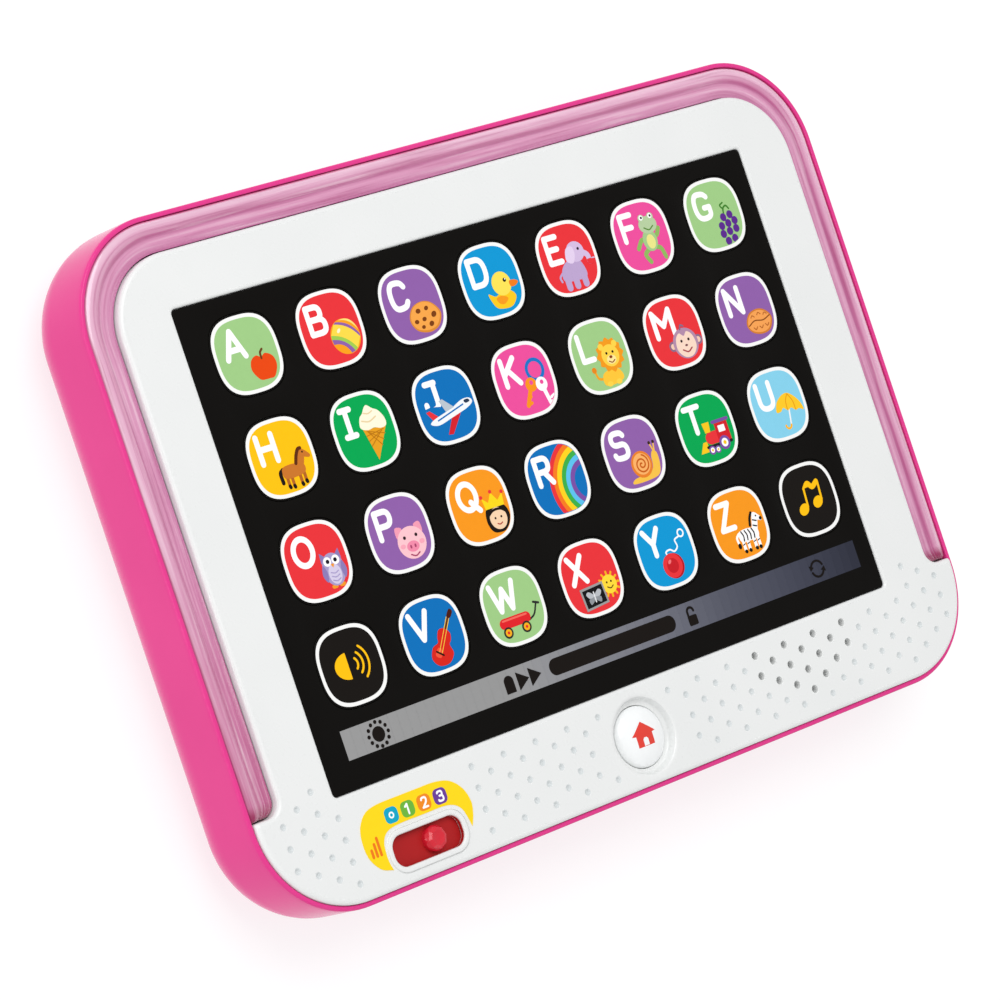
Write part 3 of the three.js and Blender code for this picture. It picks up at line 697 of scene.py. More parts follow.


# The section runs from the outer path (0) to the inner path (1); both paths are a U round the face,
# and the last stations at each end sink to a rounded nose. Painted shade deepens the pink down the left
# leg and is darkest at both ends.
def makeRing():
    half, edge, corner = [face[side] + ring["snug"] for side in ("half", "edge", "corner")]
    u, top, ru = [face[side] + ring["gap"] for side in ("upperHalf", "upperEdge", "upperCorner")]
    hollow = face["fillet"] - ring["gap"]
    end = ring["end"]
    straight = np.linspace(end + hollow, top - ru, 9)[:-1]
    inner = np.concatenate((np.flip(arc(u + hollow, end + hollow, hollow, pi, 1.5 * pi, 8), 0)[:-1],
                            np.column_stack((np.full(8, u), straight)),
                            arc(u - ru, top - ru, ru, 0, pi / 2, 20)))
    y = np.concatenate((end + hollow * np.sin(np.linspace(0, pi / 2, 9)[:-1] - pi / 2) + hollow, straight))
    outer = np.concatenate((np.column_stack((np.full(16, half), y)),
                            arc(half - corner, edge - corner, corner, 0, pi / 2, 20)))
    inner, outer = [np.concatenate((path, path[::-1] * (-1, 1))) for path in (inner, outer)]
    section = np.array(ring["section"])
    along = section[:, 0]
    stations = outer[:, None] * (1 - along)[None, :, None] + inner[:, None] * along[None, :, None]
    heights = np.tile(section[:, 1], (len(outer), 1))
    nose = ring["endRound"] * (1 - np.sin(np.linspace(0, pi / 2, 6)))
    sink = np.concatenate((nose, np.zeros(len(outer) - 12), nose[::-1]))
    heights = np.where(heights > 25, heights - sink[:, None], heights)
    rings = np.concatenate((stations, heights[:, :, None]), axis=2)
    surface = Surface()
    numbers = surface.add(rings)
    surface.skin(numbers)
    for side in (0, -1):
        tris = np.array(tessellate_polygon([[Vector((p[0], p[2], 0)) for p in rings[side]]]))
        a, b, c = [rings[side][tris[:, i]] for i in range(3)]
        inwards = np.cross(b - a, c - a)[:, 1] > 0
        tris[inwards] = tris[inwards][:, ::-1]
        surface.cover(numbers[side][tris])
    # Painted highlight and painted shade across the section, from the band colours.
    places, shades = zip(*ring["lightAndShadeBands"])
    channels = zip(*[linear(shade) for shade in shades])
    lightAndShadeBands = np.array([np.interp(along, places, channel) for channel in channels]).T
    walked = np.concatenate(([0], np.cumsum(np.linalg.norm(np.diff(outer, axis=0), axis=1))))
    # Painted shade: the pink darkens to the tip colour at both ends and deepens towards the low colour down
    # the left leg.
    tip = np.clip((np.minimum(walked, walked[-1] - walked) - ring["endShadeFull"]) / ring["endShadeFade"], 0,
                  1)[:, None, None]
    leftShade = ring["leftShadeShare"] * np.clip(1 - (walked[-1] - walked) / ring["leftShadeLength"], 0, 1)[:, None, None]
    shaded = lightAndShadeBands * (1 - leftShade) + np.array(linear(ring["low"])) * leftShade
    # The colour attribute here carries the ring's pink with painted highlight and painted shade.
    surface.inks = [(shaded * tip + np.array(linear(ring["tip"])) * (1 - tip)).reshape(-1, 3)]
    made = piece("lightRing", surface, "housing", "light_ring", [finishes["clearPink"]], 50)
    flow = np.stack(np.broadcast_arrays(walked[:, None] / ring["streak"][0], along * ring["streak"][1], 0.0),
                    axis=-1)
    kept = made.data.attributes.new("flow", "FLOAT_VECTOR", "POINT")
    kept.data.foreach_set("vector", flow.ravel())
    return made


makeRing()
print("light ring is drawn")


# Printing.

# Points of a closed smooth curve through a few corners: cubic pieces whose slopes follow their neighbours.
def smoothLoop(points, steps=7):
    p = np.asarray(points, float)
    t = np.linspace(0, 1, steps, endpoint=False)[None, :, None]
    before, after, beyond = np.roll(p, 1, 0), np.roll(p, -1, 0), np.roll(p, -2, 0)
    p, before, after, beyond = [part[:, None] for part in (p, before, after, beyond)]
    curve = p + t * (after - before) / 2 + t ** 2 * (before - 2.5 * p + 2 * after - beyond / 2) \
        + t ** 3 * (1.5 * (p - after) + (beyond - before) / 2)
    return curve.reshape(-1, 2)


def smoothLine(points, steps=7):
    p = np.asarray(points, float)
    wide = np.concatenate((2 * p[:1] - p[1:2], p, 2 * p[-1:] - p[-2:-1]))
    return np.concatenate((smoothLoop(wide, steps)[steps:-2 * steps], p[-1:]))


# A line whose corners are cut by quadratic curves of a given reach.
def cornered(points, reach, steps=8):
    p = np.asarray(points, float)
    if len(p) < 3:
        return p
    sides = np.diff(p, axis=0)
    lengths = np.linalg.norm(sides, axis=1)[:, None]
    cuts = np.minimum(reach, lengths / 2) * sides / lengths
    start, end, middle = p[1:-1] - cuts[:-1], p[1:-1] + cuts[1:], p[1:-1]
    t = np.linspace(0, 1, steps + 1)[None, :, None]
    curve = (1 - t) ** 2 * start[:, None] + 2 * t * (1 - t) * middle[:, None] + t ** 2 * end[:, None]
    line = np.concatenate((p[:1], curve.reshape(-1, 2), p[-1:]))
    apart = np.linalg.norm(np.diff(line, axis=0), axis=1) > 1e-4
    return line[np.concatenate(([True], apart))]


# The outline of a line drawn with a round pen.
def penLine(points, width, caps=8):
    p = np.asarray(points, float)
    steps = np.diff(p, axis=0)
    steps /= np.linalg.norm(steps, axis=1)[:, None]
    along = np.concatenate((steps[:1], steps[:-1] + steps[1:], steps[-1:]))
    along /= np.linalg.norm(along, axis=1)[:, None]
    turn = np.concatenate(([1], np.sum(along[1:-1] * steps[1:], axis=1), [1]))
    side = np.column_stack((-along[:, 1], along[:, 0])) * (width / 2 / np.maximum(turn, 0.5))[:, None]
    first, last = atan2(*steps[0][::-1]), atan2(*steps[-1][::-1])
    nose = arc(*p[-1], width / 2, last - pi / 2, last + pi / 2, caps)[1:-1]
    heel = arc(*p[0], width / 2, first + pi / 2, first + 1.5 * pi, caps)[1:-1]
    return np.concatenate((p - side, nose, (p + side)[::-1], heel))


def oval(x, y, rx, ry=None, turn=0, count=36):
    a = np.arange(count) * 2 * pi / count
    across, up = rx * np.cos(a), (ry or rx) * np.sin(a)
    c, s = cos(turn), sin(turn)
    return np.column_stack((x + across * c - up * s, y + across * s + up * c))


# Draws in closed films of ink, each a little higher than the last, in units of a size about a middle.
class Print:
    def __init__(self, surface, x, y, size, z, limit=None):
        self.surface, self.middle, self.size, self.z, self.limit = surface, np.array([x, y]), size, z, limit
        self.low, self.lift = z - 0.03, 0.005

    # Points beyond the printed field come back to its edge along the line to the middle.
    def kept(self, points):
        p = np.asarray(points, float)
        if self.limit is None:
            return p
        power = 2.85
        reach = (np.abs(p[:, 0]) ** power + np.abs(p[:, 1]) ** power) ** (1 / power) / self.limit
        return p / np.maximum(reach, 1)[:, None]

    def area(self, colour, points, hole=None):
        self.surface.ink = linear(colour) if isinstance(colour, str) else colour
        self.z += self.lift
        loops = [self.kept(loop) for loop in ([points] if hole is None else [points, hole])]
        rings = []
        for loop, outside in zip(loops, (True, False)):
            ahead = np.roll(loop, -1, axis=0)
            ccw = np.sum(loop[:, 0] * ahead[:, 1] - ahead[:, 0] * loop[:, 1]) > 0
            loop = loop if ccw else loop[::-1]
            flat = self.middle + self.size * loop
            heights = (self.low, self.z) if outside else (self.z, self.low)
            rings.append(self.surface.add(np.array([np.column_stack((flat, np.full(len(flat), h)))
                                                    for h in heights])))
            self.surface.skin(rings[-1])
        for level, up in ((1, True), (0, False)):
            numbers = np.concatenate([rings[0][level]] + [r[1 - level] for r in rings[1:]])
            flat = np.concatenate(self.surface.points)[numbers]
            cuts = np.cumsum([len(r[0]) for r in rings])[:-1]
            tris = np.array(tessellate_polygon([[Vector((*p[:2],
                                                         0)) for p in part] for part in np.split(flat, cuts)]))
            a, b, c = [flat[tris[:, i], :2] for i in range(3)]
            lies = (b - a)[:, 0] * (c - a)[:, 1] - (b - a)[:, 1] * (c - a)[:, 0]
            wrong = (lies < 0) == up
            tris[wrong] = tris[wrong][:, ::-1]
            self.surface.cover(numbers[tris])

    def dot(self, colour, x, y, rx, ry=None, turn=0, count=28):
        self.area(colour, oval(x, y, rx, ry, turn, count))

    def blob(self, colour, *points):
        self.area(colour, smoothLoop(points))

    def shard(self, colour, *points):
        self.area(colour, points)

    def line(self, colour, width, *points, reach=0.0):
        self.area(colour, penLine(cornered(points, reach) if reach else points, width))

    def curve(self, colour, width, *points):
        self.area(colour, penLine(smoothLine(points), width))

    def bow(self, colour, width, x, y, r, start, end):
        steps = max(6, ceil(abs(end - start) / 9))
        self.area(colour, penLine(arc(x, y, r, radians(start), radians(end), steps), width))


# Capitals and figures as pen lines on a box one high; a number after the points rounds their corners.
glyphs = {
    "A": [((0, 0), (0.36, 1)), ((0.36, 1), (0.72, 0)), ((0.13, 0.3), (0.59, 0.3))],
    "B": [((0, 0), (0, 1)), ((0, 1), (0.54, 1), (0.54, 0.53), (0, 0.53), 0.26),
          ((0, 0.53), (0.62, 0.53), (0.62, 0), (0, 0), 0.28)],
    "C": [((0.64, 0.8), (0.52, 1), (0, 1), (0, 0), (0.52, 0), (0.64, 0.2), 0.5)],
    "D": [((0, 0), (0, 1)), ((0, 1), (0.66, 1), (0.66, 0), (0, 0), 0.5)],
    "E": [((0, 0), (0, 1)), ((0, 1), (0.5, 1)), ((0, 0.52), (0.44, 0.52)), ((0, 0), (0.5, 0))],
    "F": [((0, 0), (0, 1)), ((0, 1), (0.5, 1)), ((0, 0.5), (0.44, 0.5))],
    "G": [((0.64, 0.84), (0.5, 1), (0, 1), (0, 0), (0.66, 0), (0.66, 0.42), 0.5),
          ((0.66, 0.42), (0.42, 0.42))],
    "H": [((0, 0), (0, 1)), ((0.62, 0), (0.62, 1)), ((0, 0.52), (0.62, 0.52))],
    "I": [((0.2, 0), (0.2, 1)), ((0, 1), (0.4, 1)), ((0, 0), (0.4, 0))],
    "J": [((0.16, 1), (0.56, 1)), ((0.5, 1), (0.5, 0), (0, 0), (0, 0.24), 0.28)],
    "K": [((0, 0), (0, 1)), ((0.56, 1), (0.04, 0.44)), ((0.2, 0.6), (0.6, 0))],
    "L": [((0, 0), (0, 1)), ((0, 0), (0.48, 0))],
    "M": [((0, 0), (0, 1)), ((0, 1), (0.4, 0.4)), ((0.4, 0.4), (0.8, 1)), ((0.8, 1), (0.8, 0))],
    "N": [((0, 0), (0, 1)), ((0, 1), (0.62, 0)), ((0.62, 0), (0.62, 1))],
    "P": [((0, 0), (0, 1)), ((0, 1), (0.58, 1), (0.58, 0.45), (0, 0.45), 0.28)],
    "R": [((0, 0), (0, 1)), ((0, 1), (0.56, 1), (0.56, 0.48), (0, 0.48), 0.27), ((0.3, 0.48), (0.58, 0))],
    "S": [((0.56, 0.86), (0.46, 1), (0, 1), (0, 0.53), (0.6, 0.53), (0.6, 0), (0.06, 0), (0, 0.16), 0.27)],
    "T": [((0, 1), (0.66, 1)), ((0.33, 1), (0.33, 0))],
    "U": [((0, 1), (0, 0), (0.62, 0), (0.62, 1), 0.34)],
    "V": [((0, 1), (0.36, 0)), ((0.36, 0), (0.72, 1))],
    "W": [((0, 1), (0.25, 0)), ((0.25, 0), (0.5, 0.8)), ((0.5, 0.8), (0.75, 0)), ((0.75, 0), (1, 1))],
    "X": [((0, 1), (0.6, 0)), ((0.6, 1), (0, 0))],
    "Y": [((0, 1), (0.33, 0.45)), ((0.66, 1), (0.33, 0.45)), ((0.33, 0.45), (0.33, 0))],
    "Z": [((0, 1), (0.56, 1)), ((0.56, 1), (0, 0)), ((0, 0), (0.58, 0))],
    "1": [((0, 0.78), (0.26, 1)), ((0.26, 1), (0.26, 0))],
    "2": [((0, 0.8), (0.06, 1), (0.54, 1), (0.54, 0.55), (0.02, 0), 0.26), ((0, 0), (0.58, 0))],
    "3": [((0, 0.86), (0.04, 1), (0.52, 1), (0.52, 0.54), (0.18, 0.54), 0.22),
          ((0.18, 0.54), (0.56, 0.54), (0.56, 0), (0.02, 0), (0, 0.14), 0.25)],
}


# A capital from its top left corner; O and Q are rings.
def letter(pen, name, colour, left, top, height, width):
    if name in "OQ":
        middle = (left + 0.42 * height, top - height / 2)
        outer = oval(*middle, 0.42 * height + width / 2, height / 2 + width / 2, 0, 40)
        pen.area(colour, outer, oval(*middle, 0.42 * height - width / 2, height / 2 - width / 2, 0, 40))
        if name == "Q":
            pen.line(colour, width, (middle[0] + 0.07, middle[1] - 0.16),
                     (middle[0] + 0.29, middle[1] - 0.42))
        return
    for stroke in glyphs[name]:
        reach = stroke[-1] * height if isinstance(stroke[-1], float) else 0
        points = np.array([point for point in stroke if isinstance(point, tuple)], float)
        pen.line(colour, width, *(points * (1.12 * height, height) + (left, top - height)), reach=reach)


# Pictures, one for each key; a unit is half a printed field.

def apple(pen):
    pen.blob("#E8480F", (0.37, -0.16), (0.52, -0.1), (0.72, -0.22), (0.76, -0.46), (0.6, -0.72),
             (0.42, -0.74),
             (0.34, -0.74), (0.14, -0.7), (-0.02, -0.44), (0.04, -0.2), (0.22, -0.1))
    pen.curve("#6B3A14", 0.06, (0.37, -0.2), (0.38, -0.06), (0.46, 0.02))


def ball(pen):
    x, y, r = 0.36, -0.28, 0.46
    pen.dot("#F9A11B", x, y, r, count=48)
    for colour, low, high in (("#FFD94A", -0.16, 0.16), ("#8F60A8", 0.16, 0.24), ("#9FCB50", -0.26, -0.16),
                              ("#8F60A8", -0.36, -0.26), ("#FFE27A", 0.32, 0.38)):
        across = np.linspace(-1, 1, 15)
        lower = np.column_stack((across * (r * r - low * low) ** 0.5, low + 0.1 * (1 - across ** 2)))
        upper = np.column_stack((across * (r * r - high * high) ** 0.5, high + 0.1 * (1 - across ** 2)))[::-1]
        band = np.concatenate((lower, upper))
        c, s = cos(-0.6), sin(-0.6)
        pen.area(colour, band @ np.array([[c, s], [-s, c]]) * 0.97 + (x, y))
    pen.dot("#FFF3D0", 0.2, -0.1, 0.07, 0.04, 0.7)


def cookie(pen):
    pen.blob("#D98A33", (0.28, 0.02), (0.6, -0.08), (0.8, -0.38), (0.62, -0.7), (0.27, -0.8), (-0.1, -0.68),
             (-0.24, -0.38), (-0.06, -0.08))
    pen.blob("#F5A54A", (0.27, 0.0), (0.58, -0.1), (0.75, -0.38), (0.58, -0.66), (0.26, -0.74),
             (-0.08, -0.64),
             (-0.2, -0.38), (-0.04, -0.1))
    for x, y, r in ((0.1, -0.2, 0.08), (0.38, -0.18, 0.07), (0.56, -0.38, 0.09), (0.22, -0.44, 0.07),
                    (-0.04, -0.46, 0.07), (0.4, -0.6, 0.08), (0.12, -0.63, 0.06)):
        pen.dot("#7A3E12", x, y, r, r * 0.8, x)


def duck(pen):
    pen.blob("#FBC91E", (-0.24, -0.32), (-0.02, -0.42), (0.2, -0.34), (0.5, -0.36), (0.64, -0.54),
             (0.44, -0.76),
             (0.14, -0.78), (-0.12, -0.68))
    pen.dot("#FAE157", 0.29, -0.13, 0.32)
    pen.blob("#F59A1E", (-0.02, -0.48), (0.18, -0.44), (0.36, -0.54), (0.2, -0.66), (0.04, -0.62))
    pen.blob("#F07C1A", (0.56, -0.12), (0.74, -0.12), (0.84, -0.2), (0.7, -0.28), (0.56, -0.26))
    pen.dot("#111111", 0.42, -0.06, 0.055)
    pen.dot("#FFFFFF", 0.44, -0.04, 0.02)


def elephant(pen):
    pen.blob("#BCA4CE", (-0.34, -0.3), (-0.1, -0.08), (0.3, -0.08), (0.46, -0.36), (0.42, -0.6), (0.0, -0.62),
             (-0.34, -0.56))
    for x in (-0.24, 0.04, 0.34):
        pen.line("#BCA4CE", 0.2, (x, -0.5), (x, -0.76))
    pen.dot("#D3BCE0", 0.3, 0.12, 0.3, 0.28)
    pen.curve("#D3BCE0", 0.16, (0.46, 0.1), (0.66, -0.04), (0.7, -0.22), (0.84, -0.22))
    pen.blob("#E3CFEC", (0.0, 0.24), (0.22, 0.28), (0.26, 0.06), (0.12, -0.16), (-0.08, -0.06))
    pen.dot("#2A2030", 0.42, 0.18, 0.04)
    pen.curve("#BCA4CE", 0.06, (-0.34, -0.34), (-0.46, -0.44), (-0.44, -0.56))


def frog(pen):
    for line in (((0.1, -0.2), (-0.06, -0.1), (-0.26, -0.3)), ((0.3, -0.36), (0.5, -0.44), (0.58, -0.7)),
                 ((0.12, -0.36), (-0.08, -0.5), (0.02, -0.72)), ((0.34, -0.08), (0.5, -0.06), (0.62, 0.1))):
        pen.curve("#8DB85E", 0.13, *line)
    pen.dot("#A3C98A", 0.22, -0.16, 0.25, 0.3)
    pen.dot("#E9E58A", 0.24, -0.2, 0.15, 0.2)
    pen.dot("#B5CDA0", 0.3, 0.26, 0.32, 0.24)
    for x in (0.14, 0.46):
        pen.dot("#B5CDA0", x, 0.46, 0.11)
        pen.dot("#FFFFFF", x, 0.48, 0.07)
        pen.dot("#1B1B1B", x + 0.01, 0.48, 0.035)
    pen.curve("#5C8A3C", 0.035, (0.14, 0.2), (0.3, 0.12), (0.46, 0.2))


def grapes(pen):
    pen.curve("#3E7F2A", 0.05, (0.32, -0.08), (0.36, 0.1), (0.48, 0.16), (0.56, 0.06))
    pen.curve("#3E7F2A", 0.045, (0.36, 0.08), (0.28, 0.2), (0.4, 0.26))
    for row, (count, first) in enumerate(((2, 0.27), (3, 0.13), (3, 0.1), (2, 0.2))):
        for column in range(count):
            x, y = first + 0.25 * column, -0.13 - 0.22 * row + 0.03 * column
            pen.dot("#5B2A8C", x, y, 0.108, 0.112)


def horse(pen):
    pen.curve("#1E1512", 0.11, (-0.1, -0.3), (-0.2, -0.38), (-0.2, -0.62))
    for x, y in ((-0.04, -0.74), (0.1, -0.76), (0.36, -0.76), (0.5, -0.72)):
        pen.line("#B26425", 0.09, (x, -0.44), (x, y))
        pen.line("#1E1512", 0.1, (x, y), (x + 0.01, y - 0.03))
    pen.blob("#C9752B", (-0.12, -0.28), (0.1, -0.22), (0.36, -0.24), (0.56, -0.3), (0.54, -0.5), (0.2, -0.56),
             (-0.1, -0.52))
    pen.curve("#C9752B", 0.2, (0.44, -0.34), (0.52, -0.18), (0.58, -0.02))
    pen.blob("#C9752B", (0.5, 0.06), (0.62, 0.08), (0.82, -0.1), (0.8, -0.18), (0.66, -0.14), (0.54, -0.08))
    pen.curve("#5E2C10", 0.09, (0.34, -0.24), (0.42, -0.06), (0.52, 0.08), (0.6, 0.1))
    pen.dot("#1E1512", 0.63, -0.01, 0.025)


def iceCream(pen):
    pen.shard("#E8A020", (-0.06, 0.04), (0.66, -0.02), (0.14, -0.8))
    for k in (0.2, 0.4, 0.6):
        pen.line("#B8740F", 0.022, (-0.04 + 0.15 * k, 0.0 - 0.7 * k), (0.62 - 0.3 * k, -0.04 - 0.16 * k))
        pen.line("#B8740F", 0.022, (0.66 - 0.46 * k, -0.06 - 0.66 * k), (0.02 + 0.1 * k, 0.0 - 0.1 * k))
    pen.blob("#FFF6DC", (-0.12, 0.1), (-0.06, 0.34), (0.06, 0.44), (0.24, 0.62), (0.42, 0.5), (0.58, 0.4),
             (0.7, 0.18),
             (0.68, 0.0), (0.5, -0.04), (0.3, 0.02), (0.08, 0.0))
    pen.curve("#E9D3A4", 0.04, (-0.02, 0.26), (0.2, 0.2), (0.44, 0.28))
    pen.curve("#E9D3A4", 0.035, (0.1, 0.44), (0.24, 0.4), (0.38, 0.44))


def jet(pen):
    pen.shard("#D3202B", (0.12, -0.24), (-0.22, -0.74), (-0.06, -0.76), (0.4, -0.26))
    pen.shard("#E8343A", (-0.54, -0.3), (-0.7, -0.04), (-0.58, -0.02), (-0.34, -0.24))
    pen.blob("#F4F6F8", (-0.66, -0.36), (-0.5, -0.26), (0.1, -0.12), (0.5, 0.02), (0.76, 0.02), (0.84, -0.1),
             (0.62, -0.22), (0.1, -0.34), (-0.4, -0.44))
    pen.line("#0B70B9", 0.04, (-0.4, -0.32), (0.52, -0.1))
    pen.blob("#2C3A52", (0.58, -0.01), (0.72, 0.0), (0.76, -0.07), (0.62, -0.09))
    pen.shard("#B9C4CE", (-0.08, -0.16), (-0.2, 0.16), (-0.08, 0.18), (0.22, -0.1))


def keyRing(pen):
    pen.area("#1E74C4", oval(0.43, 0.19, 0.32, count=40), oval(0.43, 0.19, 0.22, count=40))
    for colour, x, y, tip in (("#F7941E", 0.16, -0.16, (-0.14, -0.66)),
                              ("#FFFFFF", 0.5, -0.22, (0.62, -0.78))):
        pen.line(colour, 0.13, (x, y), tip)
        pen.dot(colour, x, y, 0.19)
        pen.dot("#EC4F9C", x + 0.02, y + 0.05, 0.06)
        pen.line(colour, 0.09, tip, (tip[0] + 0.14, tip[1] + 0.04))
        pen.line(colour, 0.08, (tip[0] + 0.06, tip[1] + 0.16), (tip[0] + 0.18, tip[1] + 0.2))


def lion(pen):
    pen.curve("#F0A41E", 0.07, (-0.1, -0.62), (-0.3, -0.56), (-0.36, -0.36))
    pen.dot("#E8861A", -0.37, -0.32, 0.08)
    pen.blob("#FCC63A", (-0.12, -0.5), (0.2, -0.4), (0.46, -0.46), (0.54, -0.72), (0.2, -0.82),
             (-0.14, -0.78))
    for x in (0.02, 0.34):
        pen.dot("#FCD34A", x, -0.78, 0.1, 0.07)
    mane = oval(0.32, -0.04, 0.44, count=48)
    lobes = 1 + 0.09 * np.cos(12 * np.arange(48) * 2 * pi / 48)
    pen.area("#F29A1C", (mane - (0.32, -0.04)) * lobes[:, None] + (0.32, -0.04))
    for x in (0.08, 0.56):
        pen.dot("#FCD34A", x, 0.22, 0.09)
    pen.dot("#FCD34A", 0.32, -0.06, 0.3)
    pen.dot("#FFE79A", 0.32, -0.17, 0.16, 0.12)
    for x in (0.21, 0.43):
        pen.dot("#22160C", x, 0.02, 0.036)
    pen.dot("#8A3C12", 0.32, -0.1, 0.055, 0.04)
    pen.curve("#8A3C12", 0.03, (0.22, -0.2), (0.32, -0.25), (0.42, -0.2))


def monkey(pen):
    for x in (-0.2, 0.72):
        pen.dot("#8C6A86", x, -0.36, 0.14)
        pen.dot("#F3CBB4", x, -0.36, 0.08)
    pen.dot("#B18AA8", 0.26, -0.36, 0.44, 0.42, count=44)
    pen.blob("#F7D8C4", (0.26, -0.16), (0.4, -0.06), (0.56, -0.2), (0.6, -0.5), (0.4, -0.72), (0.12, -0.72),
             (-0.08, -0.5), (-0.04, -0.2), (0.12, -0.06))
    for x in (0.13, 0.39):
        pen.dot("#2A1A20", x, -0.28, 0.04)
    pen.dot("#7A4A50", 0.26, -0.42, 0.05, 0.03)
    pen.curve("#A8454E", 0.04, (0.1, -0.52), (0.26, -0.6), (0.42, -0.52))
    pen.curve("#8C6A86", 0.05, (0.2, 0.04), (0.26, 0.14), (0.34, 0.1))


def nut(pen):
    pen.blob("#D07C30", (0.34, -0.06), (0.62, -0.14), (0.8, -0.38), (0.64, -0.68), (0.32, -0.76),
             (-0.02, -0.66),
             (-0.16, -0.42), (0.02, -0.14))
    pen.blob("#F5A255", (0.34, -0.1), (0.6, -0.18), (0.75, -0.38), (0.6, -0.64), (0.32, -0.71), (0.0, -0.62),
             (-0.11, -0.42), (0.04, -0.18))
    pen.curve("#8A4A18", 0.035, (-0.08, -0.46), (0.16, -0.36), (0.46, -0.4), (0.74, -0.32))
    for x, y in ((0.06, -0.26), (0.3, -0.22), (0.52, -0.26)):
        pen.curve("#B5672A", 0.03, (x, y), (x + 0.06, y + 0.05), (x + 0.13, y))
    for x, y in ((0.06, -0.54), (0.28, -0.54), (0.5, -0.52)):
        pen.curve("#B5672A", 0.03, (x, y), (x + 0.06, y - 0.06), (x + 0.13, y))


def owl(pen):
    for x in (0.3, 0.54):
        pen.blob("#F39A2B", (x - 0.08, -0.7), (x + 0.08, -0.7), (x + 0.07, -0.78), (x - 0.07, -0.78))
    for side in (-1, 1):
        pen.shard("#8B7BB5", (0.42 + side * 0.14, 0.02), (0.42 + side * 0.3, 0.16),
                  (0.42 + side * 0.32, -0.12))
    pen.dot("#A79BC8", 0.42, -0.32, 0.34, 0.42, count=40)
    pen.dot("#D5CCE6", 0.42, -0.44, 0.2, 0.26)
    for side in (-1, 1):
        pen.blob("#8B7BB5", (0.42 + side * 0.3, -0.16), (0.42 + side * 0.38, -0.4),
                 (0.42 + side * 0.28, -0.6),
                 (0.42 + side * 0.22, -0.36))
        pen.dot("#FFFFFF", 0.42 + side * 0.13, -0.1, 0.12)
        pen.dot("#1F1A2A", 0.42 + side * 0.12, -0.1, 0.055)
    pen.shard("#F39A2B", (0.36, -0.18), (0.48, -0.18), (0.42, -0.28))
    for y in (-0.38, -0.48, -0.58):
        pen.curve("#A79BC8", 0.025, (0.3, y), (0.42, y - 0.04), (0.54, y))


def pig(pen):
    for side in (-1, 1):
        pen.blob("#F29DB4", (0.28 + side * 0.2, 0.1), (0.28 + side * 0.4, 0.14), (0.28 + side * 0.42, -0.12),
                 (0.28 + side * 0.28, -0.08))
    pen.dot("#F9C4CC", 0.28, -0.32, 0.45, 0.42, count=44)
    pen.dot("#F08AA8", 0.28, -0.42, 0.2, 0.14)
    for side in (-1, 1):
        pen.dot("#A8456A", 0.28 + side * 0.07, -0.42, 0.03, 0.05)
        pen.dot("#2A1A20", 0.28 + side * 0.19, -0.16, 0.045)
        pen.dot("#F6A6B8", 0.28 + side * 0.31, -0.36, 0.08, 0.06)
    pen.curve("#A8456A", 0.035, (0.14, -0.61), (0.28, -0.67), (0.42, -0.61))


def queen(pen):
    pen.blob("#1C1410", (0.14, -0.16), (0.44, -0.1), (0.76, -0.18), (0.84, -0.5), (0.68, -0.78),
             (0.22, -0.78),
             (0.06, -0.5))
    pen.dot("#F6D3AE", 0.45, -0.45, 0.28, 0.29)
    pen.blob("#1C1410", (0.17, -0.36), (0.3, -0.2), (0.6, -0.2), (0.73, -0.36), (0.58, -0.26), (0.34, -0.26))
    pen.shard("#F8D81C", (0.14, -0.16), (0.1, 0.16), (0.28, 0.0), (0.44, 0.24), (0.6, 0.0), (0.8, 0.16),
              (0.76, -0.16))
    for x, y in ((0.1, 0.18), (0.44, 0.26), (0.8, 0.18)):
        pen.dot("#E8343A", x, y, 0.05)
    for x in (0.35, 0.55):
        pen.dot("#2A1A12", x, -0.43, 0.03)
    pen.curve("#B5463C", 0.03, (0.37, -0.58), (0.45, -0.61), (0.53, -0.58))


def rainbow(pen):
    for colour, r in (("#E8343A", 1.31), ("#F47B20", 1.18), ("#FFD21E", 1.05), ("#3DAE49", 0.9),
                      ("#5CC0EC", 0.76),
                      ("#7B4FA3", 0.62), ("#0B70B9", 0.48)):
        pen.area(colour, oval(1.0, -0.28, r, count=120))


def snail(pen):
    pen.blob("#F6C24A", (-0.2, -0.66), (0.3, -0.62), (0.5, -0.5), (0.56, -0.2), (0.66, -0.08), (0.78, -0.18),
             (0.76, -0.5), (0.62, -0.74), (0.2, -0.8), (-0.3, -0.78))
    for x in (0.62, 0.76):
        pen.line("#F6C24A", 0.045, (0.7, -0.14), (x, 0.12))
        pen.dot("#3A2614", x, 0.14, 0.045)
    pen.dot("#E8802A", 0.16, -0.34, 0.36, count=40)
    pen.dot("#F9B268", 0.16, -0.33, 0.29, count=36)
    turn = np.linspace(0, 4.4 * pi, 60)
    spiral = np.column_stack((0.16 + 0.0185 * turn * np.cos(turn), -0.34 + 0.0185 * turn * np.sin(turn)))
    pen.area("#C65D14", penLine(spiral[6:], 0.045))


def train(pen):
    pen.shard("#F7C81E", (-0.46, -0.62), (-0.28, -0.34), (-0.14, -0.34), (-0.14, -0.62))
    pen.line("#E8343A", 0.34, (0.02, -0.28), (0.3, -0.28))
    pen.shard("#D3202B", (0.28, 0.06), (0.74, 0.06), (0.74, -0.5), (0.28, -0.5))
    pen.shard("#FFFFFF", (0.38, -0.02), (0.62, -0.02), (0.62, -0.2), (0.38, -0.2))
    pen.line("#7B4FA3", 0.09, (0.24, 0.11), (0.78, 0.11))
    pen.shard("#F7C81E", (-0.1, -0.12), (-0.14, 0.16), (0.12, 0.16), (0.08, -0.12))
    pen.line("#1E1E22", 0.08, (-0.16, -0.5), (0.72, -0.5))
    for x, y, r in ((0.46, -0.5, 0.19), (-0.04, -0.6, 0.12), (0.16, -0.62, 0.1)):
        pen.dot("#7B4FA3", x, y, r)
        pen.dot("#FFFFFF", x, y, r * 0.62)
        pen.dot("#F7C81E", x, y, r * 0.3)


